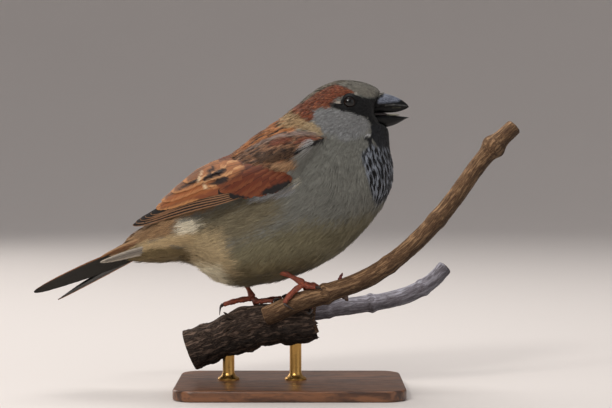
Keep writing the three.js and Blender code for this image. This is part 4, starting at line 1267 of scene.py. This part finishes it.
# Wing feathers in the side view: root, middle and tip. Each lies over the one before it, and
# 'step' higher. 'row' is their place on the baked map.
wingFeathers = {
    "primaries": {
        "width": 3.0, "lift": 0.1, "step": 0.14, "sink": 0.4, "row": 0.1, "marks": [],
        "look": {"tone": (26, 20, 17), "rim": (134, 98, 70), "rimWidth": 0.24, "rims": (0.6, 1.0),
                 "tipRim": 0.8, "soft": 0.16, "blunt": 0.2},
        "lines": [
            [(-14, 74.4), (-38, 68.4), (-58.0, 61.9)],
            [(-14, 75.0), (-38, 69.4), (-57.0, 62.9)],
            [(-14, 75.6), (-38, 70.4), (-55.4, 63.9)],
            [(-14, 76.2), (-37, 71.5), (-53.4, 64.9)],
            [(-14, 76.8), (-35, 72.7), (-51.2, 66.0)],
        ]},
    "tertials": {
        "width": 4.8, "lift": 1.0, "step": 0.26, "sink": 2.4, "row": 0.3, "marks": wingMarks,
        "look": {"tone": (120, 78, 50), "rim": (176, 122, 76), "rimWidth": 0.3, "soft": 0.6, "blunt": 0.42},
        "lines": [
            [(-14, 79.0), (-32, 74.9), (-48.8, 68.0)],
            [(-16, 82.4), (-33, 77.2), (-46.8, 70.6)],
            [(-18, 84.8), (-31, 80.0), (-43.4, 73.8)],
            [(-20, 86.0), (-28.6, 82.4), (-38.6, 77.4)],
        ]},
    "coverts": {
        "width": 4.6, "lift": 0.4, "step": 0.08, "sink": 2.6, "row": 0.5, "marks": wingMarks,
        "look": {"tone": (84, 44, 28), "rim": (112, 60, 36), "rimWidth": 0.4, "soft": 0.8, "blunt": 0.3},
        "lines": [
            [(1.6, 82.0), (-3.0, 78.8), (-8.4, 74.8)],
            [(0.6, 82.6), (-6.0, 78.4), (-13.0, 73.7)],
            [(-1.0, 83.4), (-9.0, 78.6), (-17.4, 72.9)],
            [(-3, 84.2), (-11.8, 79.2), (-21.4, 72.9)],
            [(-5, 85.0), (-14.8, 80.4), (-25.0, 74.8)],
            [(-8, 85.4), (-19.6, 80.8), (-30.8, 76.2)],
            [(-13, 86.4), (-22.4, 82.8), (-33.0, 78.6)],
            [(-17, 87.4), (-24.4, 84.8), (-32.4, 81.6)],
        ]},
}


def makeWings(blade):
    face = onBlade(blade)
    for name, side in (("right", -1), ("left", 1)):
        for group, row in wingFeathers.items():
            rng = np.random.default_rng(len(group))
            bag = Vanes()
            for i, line in enumerate(row["lines"]):
                addVane(bag, rng, [(x, 0, z) for x, z in line], row["width"], face, **row["look"],
                        lift=row["lift"] + row["step"] * i, sink=row["sink"], marks=row["marks"],
                        slot=(0.05 + 0.055 * i, row["row"]))
            slotName, replaced = "flight_feathers", ["wing_" + name + "_" + group]
            if group == "coverts":
                slotName, replaced = "wing_coverts", []  # their CAD node is part of the skin
            mesh = bag.mesh(group, side)
            addPiece("wing_" + name + "_" + group + "_vanes", mesh, flightVanes, slotName, *replaced)


# Each half of the tail is a stack of feathers, the outermost lowest, rolled about its length.
# 'step' moves each further feather from the outermost one along, across and up.
tail = {
    "right": {"roll": 50, "width": 7.6,
              "line": [(-49, -2, 56.0), (-71, -5.0, 47.2), (-93.8, -8.2, 37.6)]},
    "left": {"roll": 14, "width": 7.4,
             "line": [(-49, 2.4, 54.0), (-70, 5.4, 42.8), (-87.4, 8.4, 33.3)]},
    "feathers": 6,
    "step": (1.6, 0.3, 0.16),
    "tone": (34, 30, 24),
    "rim": (150, 100, 62),
    "rimWidth": 0.22,  # on the outermost feather only
}
tailCoverts = [
    {"tone": (128, 120, 110), "rim": (168, 158, 144), "width": 3.8,
     "line": [(-42, -2.6, 55.6), (-57, -6.2, 52.2), (-69.6, -7.4, 48.5)]},
    {"tone": (128, 120, 110), "rim": (168, 158, 144), "width": 3.8,
     "line": [(-40, 2.6, 53.2), (-54, 4.6, 50.8), (-64.0, 5.2, 47.6)]},
    {"tone": (140, 104, 74), "rim": (170, 134, 98), "width": 4.2,
     "line": [(-42, -2.0, 59.4), (-57, -4.6, 55.2), (-69.4, -5.8, 50.4)]},
]


def makeTail():
    for name, side in (("right", -1), ("left", 1)):
        rng = np.random.default_rng(8 + side)
        bag = Vanes()
        half = tail[name]
        roll = math.radians(half["roll"])
        across = np.array([0, math.cos(roll), -math.sin(roll)])
        face = onPlane(across, np.array([0, math.sin(roll), math.cos(roll)]))
        back, inwards, rise = tail["step"]
        for i in range(tail["feathers"]):
            line = np.array(half["line"]) - across * side * inwards * i
            line[2] += (line[0] - line[2]) / np.linalg.norm(line[0] - line[2]) * back * i
            addVane(bag, rng, line, half["width"], face, tail["tone"], tail["rim"],
                    tail["rimWidth"] if i == 0 else 0.0, rise * i, 0.0, blunt=0.5, lead=1 + 0.1 * side,
                    camber=0.3, slot=(0.2 + 0.1 * i, 0.5), rims=((1 - side) / 2, (1 + side) / 2),
                    tipRim=0.0, soft=0.2, point=1.6, tilt=0.0)
        addPiece("tail_" + name + "_vanes", bag.mesh("tail"), tailVanes, "tail_feathers", "tail_" + name)
    bag = Vanes()
    rng = np.random.default_rng(3)
    for i, look in enumerate(tailCoverts):
        side = np.sign(look["line"][0][1])
        face = onPlane(np.array([0, 0.4, side]) / 1.077, unit(np.array([0, side, -0.4])))
        addVane(bag, rng, look["line"], look["width"], face, look["tone"], look["rim"], 0.4, 0.0, 0.0,
                blunt=0.6, camber=0.5, slot=(0.3 + 0.1 * i, 0.8), point=1.5, tilt=0.0)
    addPiece("tail_covert_vanes", bag.mesh("coverts"), flightVanes, "plumage")


# The perch: a cut limb and its two shoots. A knot is where along the shoot, how high and how wide.
limb = {
    "line": [(-38, 3.4, 14.6), (-25, 3.2, 19.5), (-11.9, 3.0, 23.6), (9.2, 2.6, 26.2)],
    "radius": 7.3,
    "swelling": {"at": 0.52, "wide": 0.16, "high": 1.1},
    "ragged": 1.2,  # how much of its cut end is torn
    "light": (128, 106, 92), "dark": (26, 20, 17), "endLight": (122, 92, 64), "endDark": (66, 46, 32),
    "scale": 0.9, "stretch": 0.16, "crack": 0.7, "depth": 0.0007,
}
tanShoot = {
    "line": [(-9.8, -4.6, 27.9), (3.7, -6, 33.8), (15.9, -6.8, 37.7), (30.2, -6.8, 43.6),
             (42.4, -6.4, 52.4), (52.7, -5.8, 62.5), (61.3, -5.2, 73), (68.4, -4.6, 83),
             (75.3, -4.1, 91.2), (83.1, -3.6, 98.8)],
    "radius": 3.6, "tipRadius": 3.0,
    "knots": [(0.205, 0.6, 0.012), (0.905, 1.5, 0.022), (0.62, 0.3, 0.015), (0.42, 0.25, 0.012)],
    "light": (172, 136, 100), "dark": (72, 48, 33), "endLight": (176, 142, 102), "endDark": (116, 84, 58),
    "scale": 1.1, "stretch": 0.14, "crack": 0.5, "depth": 0.0003,
}
greyShoot = {
    "line": [(2, 8.4, 27.6), (12, 9.2, 29.2), (22.7, 10, 30.9), (34, 10.8, 32.4), (45.8, 11.6, 35.6),
             (53.6, 12.2, 40.2), (59, 12.8, 45.9)],
    "radius": 3.3, "tipRadius": 2.9,
    "knots": [(0.47, 0.7, 0.02), (0.8, 0.4, 0.02), (0.2, 0.3, 0.02)],
    "light": (208, 206, 218), "dark": (118, 110, 116), "endLight": (164, 146, 128), "endDark": (110, 92, 78),
    "scale": 1.0, "stretch": 0.16, "crack": 0.35, "depth": 0.0003,
}
buds = {
    "red_bud": {"line": [(18.0, -6.8, 41.6), (18.7, -6.8, 43.2), (19.4, -6.8, 44.6)], "radius": 0.7,
                "light": (118, 46, 44), "dark": (62, 22, 24)},
    "dark_bud": {"line": [(19.6, -7.4, 36.6), (20.6, -7.6, 35.2), (21.4, -7.7, 34.2)], "radius": 1.3,
                 "light": (84, 62, 50), "dark": (34, 24, 20)},
}
# loose bark near the fork
flakes = {"count": 18, "x": (-20, -10), "angle": (24, 78), "tone": (50, 38, 30), "rim": (74, 58, 46)}


# a rough relief round a branch, in lumps of one size that are stretched along it
def lump(t, turn, size, stretch, seed, length):
    spots = np.stack([np.cos(turn) / size, np.sin(turn) / size, t * length / stretch], axis=1)
    return np.array([noise.fractal(Vector(p) + Vector((seed, 0, 0)), 0.8, 2.1, 5) for p in spots])


# bark along a branch, with painted shade that darkens its underside, and growth rings on its cut ends
def makeBark(name, branch, length):
    material, tree, shader = newMaterial(name)
    shader.inputs["Specular IOR Level"].default_value = 0.25
    straight = attribute(tree, "straight", "Vector")
    side = useGroup(tree, furrows, {"Light": rgba(*branch["light"]), "Dark": rgba(*branch["dark"]),
                                    "Vector": straight, "Scale": branch["scale"],
                                    "Stretch": branch["stretch"], "Crack": branch["crack"]})
    patchy = mottled(tree, side["Color"], straight, 0.22, 0.45)
    sideways, upward, along = put(tree, "SeparateXYZ", {0: straight}).outputs
    flat = put(tree, "CombineXYZ", {0: sideways, 1: upward}).outputs[0]
    off = put(tree, "VectorMath", {0: flat}, operation="LENGTH").outputs[1]
    rings = maths(tree, "SINE", maths(tree, "MULTIPLY", off, 9.0))
    wood = mixed(tree, mapped(tree, rings, -0.6, 0.9), rgba(*branch["endDark"]), rgba(*branch["endLight"]))
    endGrain = mottled(tree, wood, straight, 1.6, 0.4)
    nearEnd = maths(tree, "ADD", mapped(tree, along, 0.5, 0.15),
                    mapped(tree, along, length - 0.5, length - 0.15), True)
    # painted shade: the bark is darkened towards its underside, where less light falls
    paintedUnderShade = mapped(tree, upward, -0.7 * branch["radius"], 0.8 * branch["radius"], 0.3, 1.0)
    colour = mixed(tree, nearEnd, scaled(tree, patchy["Color"], paintedUnderShade), endGrain["Color"])
    rough = mapped(tree, side["Height"], 0.3, 1.2, 0.95, 0.7)
    finishWith(tree, shader, colour, side["Height"], 0.7, branch["depth"], rough)
    return material


def makePerch():
    length = smoothLine(limb["line"]).length

    def limbSection(t):
        return limb["radius"] + 0.35 * np.sin(t * 17) + 0.25 * np.sin(t * 41 + 1) + 0.6 * t

    def limbRelief(t, turn):
        swelling = limb["swelling"]
        wide = lump(t, turn, 0.9, 14, 3, length) * 0.5
        plates = np.abs(lump(t, turn, 0.28, 5, 9, length)) * -0.9 + 0.2
        swell = swelling["high"] * np.exp(-((t - swelling["at"]) / swelling["wide"]) ** 2)
        swell = swell * ease(-0.3, 0.7, np.sin(turn))
        return np.minimum(wide * (1 - 0.6 * swell) + plates + swell, 0.9)

    bark = makeBark("limbBark", limb, length)
    bm = drawnAlong(limb["line"], limbSection, skyward, 110, 180, 0.012, limbRelief)
    keep = bm.verts.layers.float_vector["straight"]
    for vert in bm.verts:
        x, y, reach = vert[keep]
        if reach > length - limb["ragged"]:
            tear = noise.noise(Vector((x * 0.5, y * 1.1, 0)))
            tear += 0.5 * noise.noise(Vector((x * 1.7, y * 2.3, 4)))
            vert.co.x += tear * 2.0 * mm
    addPiece("limb_bark", meshOf(bm, "limb"), bark, "bark", "perch_limb")
    for name, shoot in (("tan", tanShoot), ("grey", greyShoot)):
        length = smoothLine(shoot["line"]).length

        def section(t, shoot=shoot):
            size = shoot["radius"] + (shoot["tipRadius"] - shoot["radius"]) * t
            for where, swell, wide in shoot["knots"]:
                size = size + swell * np.exp(-((t - where) / wide) ** 2)
            return size

        def relief(t, turn, length=length):
            return lump(t, turn, 0.8, 9, 5, length) * 0.16 + lump(t, turn, 0.3, 3, 8, length) * 0.1

        bark = makeBark(name + "Bark", shoot, length)
        bm = drawnAlong(shoot["line"], section, skyward, 48, 260, 1.2 / length, relief)
        addPiece("shoot_" + name + "_bark", meshOf(bm, name), bark, name + "_bark", "perch_shoot_" + name)
    for name, bud in buds.items():
        stuff = makeHorn(name, rgba(*bud["light"]), rgba(*bud["dark"]), 2.0, 0.5)

        def budSection(t, bud=bud):
            return bud["radius"] * (1.0 - 0.75 * t ** 1.6)

        def scales(t, turn):
            return 0.12 * np.sin(turn * 3 + t * 14)

        bm = drawnAlong(bud["line"], budSection, np.array([0, -1, 0.1]), 20, 24, 0.25, scales)
        addPiece(name, meshOf(bm, name), stuff, "tan_bark")
    rng = np.random.default_rng(21)
    bag = Vanes()
    for i in range(flakes["count"]):
        x = rng.uniform(*flakes["x"])
        angle = rng.uniform(*flakes["angle"])
        run = rng.choice([-1, 1]) * rng.uniform(2.6, 5.6)
        twist = rng.normal() * 12
        spots = [onBranch(limb, x + run * share, angle + twist * share, limb["radius"] + high)
                 for share, high in ((0, 0.2), (0.5, 1.0), (1, 1.2 + rng.uniform(0, 1.2)))]
        outward = unit(spots[0] - onBranch(limb, x, 0, 0))
        face = onPlane(unit(np.cross(spots[2] - spots[0], outward)), outward)
        addVane(bag, rng, spots, rng.uniform(0.5, 1.1), face, flakes["tone"], flakes["rim"], 0.3, 0.0, 0.3,
                blunt=0.3, camber=-0.2, slot=(0.1 + 0.04 * i, 0.5))
    addPiece("bark_flakes", bag.mesh("flakes"), flightVanes, "bark")


# the place at x along a branch, so many degrees round from its top
def onBranch(branch, x, angle, distance):
    at = smoothLine(branch["line"])
    shares = np.linspace(0, 1, 801)
    t = np.interp(x, at(shares)[:, 0], shares)
    along = heading(at, t)
    across = unit(np.cross(along, skyward))
    above = unit(np.cross(across, along))
    angle = math.radians(angle)
    return at(t) + above * math.cos(angle) * distance + across * math.sin(angle) * distance


# each toe: x and angle round its branch at the knuckle, on the way and at the claw, then the claw's point
feet = {
    "left": {"branch": limb, "ankle": (-17.4, 8.0, 41.0), "joint": (-14.0, 5.6, 34.2), "toes": {
        "hind": {"x": [-16.4, -18.9, -21.4], "angle": [-16, -12, -8], "arch": 2.0,
                 "claw": (-23.4, 14, 0.3)},
        "inner": {"x": [-10.8, -8.0, -5.0], "angle": [3, 12, 20], "claw": (-1.6, 26, 0.4)},
        "middle": {"x": [-10.2, -6.4, -2.0], "angle": [-16, -15, -13], "claw": (1.6, -11, 0.4)},
        "outer": {"x": [-11.2, -8.8, -6.2], "angle": [-36, -49, -62], "claw": (-3.4, -78, 0.4)}}},
    "right": {"branch": tanShoot, "ankle": (-3.6, -9.4, 45.6), "joint": (5.2, -7.0, 40.6), "toes": {
        "hind": {"x": [2.8, 0.8, -1.0], "angle": [32, 52, 70], "claw": (1.2, 116, 0.3)},
        "inner": {"x": [6.6, 6.8, 6.6], "angle": [-48, -98, -146], "claw": (4.6, -194, 0.3)},
        "middle": {"x": [8.2, 9.8, 11.0], "angle": [-14, -32, -54], "claw": (11.6, -90, 0.4)},
        "outer": {"x": [7.8, 9.4, 10.8], "angle": [22, 34, 46], "claw": (12.6, 66, 0.4)}}},
}
toeRadius = {"hind": 1.15, "inner": 0.95, "middle": 1.05, "outer": 0.95}
footSet = {
    "gap": 0.3,  # under the toes
    "bark": 0.9,  # how far the limb's bark stands up
    "claw": 0.82,
    "crest": 1.2,  # how far a claw arches
    "tarsus": 1.15,
}


def shankSection(t):
    return footSet["tarsus"] * (1 + 0.28 * np.cos(t * np.pi * 2))


def shankScutes(t, turn):
    saw = (t * 9) % 1
    return 0.1 * (saw - 0.5) * ease(-0.4, 0.5, -np.cos(turn + 0.5)) + 0.02 * np.sin(turn * 7)


def toeScutes(t, turn):
    saw = (t * 11) % 1
    pads = 0.05 * np.cos(t * 60) * ease(0.2, 0.8, -np.sin(turn))
    return 0.08 * (saw - 0.5) * ease(-0.2, 0.6, np.sin(turn)) + pads


def clawSection(t):
    size = footSet["claw"] * (1 - 0.86 * t)
    return size * 0.72, size, size


def makeFeet():
    skin = makeHorn("legSkin", rgba(166, 84, 56), rgba(92, 42, 32), 1.6, 0.5, Subsurface_Weight=0.08,
                    Subsurface_Scale=0.001)
    horn = makeHorn("clawHorn", rgba(74, 62, 56), rgba(26, 21, 20), 2.4, 0.3)
    for name, foot in feet.items():
        branch = foot["branch"]
        surface = branch["radius"] + (footSet["bark"] if branch is limb else 0) + footSet["gap"]

        def outFrom(place, branch=branch):
            return place - np.array([onBranch(branch, p[0], 0, 0) for p in place])

        ankle, joint = np.array(foot["ankle"]), np.array(foot["joint"])
        shin = [ankle, (ankle + joint) / 2, joint]
        bm = drawnAlong(shin, shankSection, np.array([1, 0, 0.2]), 28, 64, 0.12, shankScutes)
        addPiece("shank_" + name, meshOf(bm, "shank"), skin, "leg_skin", "tarsus_" + name)
        for digit, toe in foot["toes"].items():
            radius = toeRadius[digit]
            reach = surface + 1.08 * radius + toe.get("arch", 0)
            points = [onBranch(branch, x, angle, reach) for x, angle in zip(toe["x"], toe["angle"])]

            def toeSection(t, radius=radius):
                return radius * (1 - 0.22 * t + 0.08 * np.cos(t * np.pi * 6))

            bm = drawnAlong([joint] + points, toeSection, outFrom, 22, 60, 0.1, toeScutes)
            addPiece("toe_" + name + "_" + digit + "_skin", meshOf(bm, "toe"), skin, "leg_skin",
                     "toe_" + name + "_" + digit)
            tipX, tipAngle, tipLift = toe["claw"]
            tip = onBranch(branch, tipX, tipAngle, surface + tipLift)
            start = points[2]
            crest = (start + tip) / 2
            centre = onBranch(branch, (start[0] + tipX) / 2, tipAngle, 0)
            crest = crest + unit(crest - centre) * footSet["crest"]
            bm = drawnAlong([start, crest, tip], clawSection, outFrom, 18, 32, 0.06)
            addPiece("claw_" + name + "_" + digit + "_horn", meshOf(bm, "claw"), horn, "claw",
                     "claw_" + name + "_" + digit)


stand = {
    "length": 84, "width": 60, "thick": 4, "corner": 8, "bevel": 0.8,
    "rod": 2.2, "rodX": {"rear": -23, "front": 2}, "rodY": 3.1,
    # the collar at a rod's foot: how far it stands out from the rod and up from the board
    "collar": [(1.9, 0), (1.9, 0.5), (1.5, 1.0), (0.8, 1.3), (0.3, 2.0), (0, 2.8)],
}


def makeStand():
    wood, tree, shader = newMaterial("walnut", Coat_Weight=0.35, Coat_Roughness=0.25)
    place = objectPlace(tree)
    pull = put(tree, "Mapping", {"Vector": place, "Scale": (60.0, 700.0, 260.0)}).outputs[0]
    wander = clouds(tree, pull, 1.0, 6.0, Distortion=0.6)
    grain = clouds(tree, pull, 4.0, 4.0)
    tone = mixed(tree, mapped(tree, wander, 0.35, 0.65), rgba(66, 38, 22), rgba(128, 82, 50))
    tone = mixed(tree, mapped(tree, grain, 0.5, 0.7, 0.0, 0.5), tone, rgba(46, 26, 16))
    finishWith(tree, shader, tone, grain, 0.1, 0.0002, mapped(tree, grain, 0.3, 0.7, 0.38, 0.52))
    bm = bmesh.new()
    bmesh.ops.create_cube(bm, size=1.0)
    size = Vector((stand["length"], stand["width"], stand["thick"])) * mm
    bmesh.ops.scale(bm, verts=bm.verts, vec=size)
    bmesh.ops.translate(bm, verts=bm.verts, vec=(0, 0, size.z / 2))
    uprights = [e for e in bm.edges if abs(e.verts[0].co.z - e.verts[1].co.z) > 0.001]
    bmesh.ops.bevel(bm, geom=uprights, affect="EDGES", offset=stand["corner"] * mm, segments=10,
                    profile=0.5, material=-1)
    level = [e for e in bm.edges if abs(e.verts[0].co.z - e.verts[1].co.z) < 1e-6]
    rims = [e for e in level if len(e.link_faces) == 2 and e.calc_face_angle(0) > 1]
    bmesh.ops.bevel(bm, geom=rims, affect="EDGES", offset=stand["bevel"] * mm, segments=4,
                    profile=0.5, material=-1)
    base = addPiece("base_board", meshOf(bm, "base"), wood, "stand_wood", "stand_base")
    base.data.set_sharp_from_angle(angle=math.radians(40))
    metal, tree, shader = newMaterial("brushedBrass", Metallic=1.0)
    place = objectPlace(tree)
    pull = put(tree, "Mapping", {"Vector": place, "Scale": (900.0, 900.0, 9000.0)}).outputs[0]
    soft = mottled(tree, rgba(190, 148, 84), pull, 1.0, 0.18)
    rough = mapped(tree, soft["Mask"], 0.3, 0.7, 0.24, 0.4)
    finishWith(tree, shader, soft["Color"], soft["Mask"], 0.1, 0.0001, rough)
    for name, x in stand["rodX"].items():
        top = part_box("stand_rod_" + name)[1][2] / mm
        r, foot = stand["rod"], stand["thick"]
        collar = [(r + out, 0, foot + up) for out, up in stand["collar"]]
        bm = spun([(0, 0, foot)] + collar + [(r, 0, top), (0, 0, top)], (0, 0, 1), 40)
        bmesh.ops.recalc_face_normals(bm, faces=bm.faces)
        setDown(bm, (x, stand["rodY"], 0))
        rod = addPiece("rod_" + name, meshOf(bm, "rod"), metal, "stand_metal", "stand_rod_" + name)
        rod.data.set_sharp_from_angle(angle=math.radians(35))


# how far back the floor reaches before it rises, the radius of the bend and the wall's top, in
# metres, then each light's place, size, power and colour
stage = {
    "reach": 1.4, "bend": 1.2, "wall": 1.8, "tone": (226, 219, 214),
    "sky": (214, 214, 218), "skyPower": 0.42, "target": (0, 0, 0.07),
    "lights": {
        "key": ((-0.35, -0.75, 0.85), 0.7, 2.4, (1.0, 0.97, 0.93)),
        "glint": ((-0.42, -0.7, 0.62), 0.2, 2.8, (1.0, 0.98, 0.95)),
        "fill": ((0.8, -0.6, 0.4), 0.9, 1.2, (0.93, 0.96, 1.0)),
        "top": ((-0.1, 0.25, 0.9), 0.7, 5.0, (1.0, 0.98, 0.96)),
        "back": ((-0.7, 0.7, 0.4), 0.6, 2.4, (1.0, 0.96, 0.92)),
    },
}


def makeStage():
    material, tree, shader = newMaterial("paleFloor", Roughness=0.9)
    place = objectPlace(tree)
    soft = mottled(tree, rgba(*stage["tone"]), place, 3.0, 0.02)
    finishWith(tree, shader, soft["Color"])
    reach, bend = stage["reach"], stage["bend"]
    curve = [(reach + bend * math.sin(turn), 0, bend - bend * math.cos(turn))
             for turn in np.linspace(0, math.pi / 2, 25)]
    bm = spun([(0, 0, 0)] + curve + [(reach + bend, 0, stage["wall"])], (0, 0, 1), 96, 1e-5)
    bmesh.ops.recalc_face_normals(bm, faces=bm.faces)
    bmesh.ops.reverse_faces(bm, faces=bm.faces)
    floor = linked("floor", meshOf(bm, "floor"))
    floor.data.materials.append(material)
    floor.data.shade_smooth()
    for name, (place, size, power, colour) in stage["lights"].items():
        light = bpy.data.lights.new(name, "AREA")
        light.shape = "DISK"
        light.size = size
        light.energy = power
        light.color = colour
        lamp = linked(name, light)
        lamp.location = place
        lookAt(lamp, Vector(stage["target"]))
    world = bpy.data.worlds.new("studio")
    world.use_nodes = True
    world.node_tree.nodes["Background"].inputs[0].default_value = rgba(*stage["sky"])
    world.node_tree.nodes["Background"].inputs[1].default_value = stage["skyPower"]
    bpy.context.scene.world = world
    bpy.context.scene.view_settings.view_transform = "Standard"


view = {"lens": 100, "sensor": 36, "aim": (5.9, 0, 69.6), "rise": 1.6, "distance": 0.63}


def makeCamera():
    camera = bpy.data.cameras.new("camera")
    camera.lens = view["lens"]
    camera.sensor_width = view["sensor"]
    rig = linked("camera", camera)
    aim = Vector(view["aim"]) * mm
    rise = math.radians(view["rise"])
    rig.location = aim + Vector((0, -math.cos(rise), math.sin(rise))) * view["distance"]
    lookAt(rig, aim)
    bpy.context.scene.camera = rig


makeCamera()
makeStage()
print("stage ready")
skinPiece = makeSkin()
unwrapSkin(skinPiece)
finishSkin(skinPiece)
print("skin:", len(skinPiece.data.polygons), "faces")
blade = wingSurface()
makeCoat(skinPiece, blade)
print("coat laid")
makeEyes()
makeBill()
print("head parts made")
makeWings(blade)
makeTail()
print("wings and tail made")
makeFeet()
makePerch()
makeStand()
print("feet, perch and stand made")
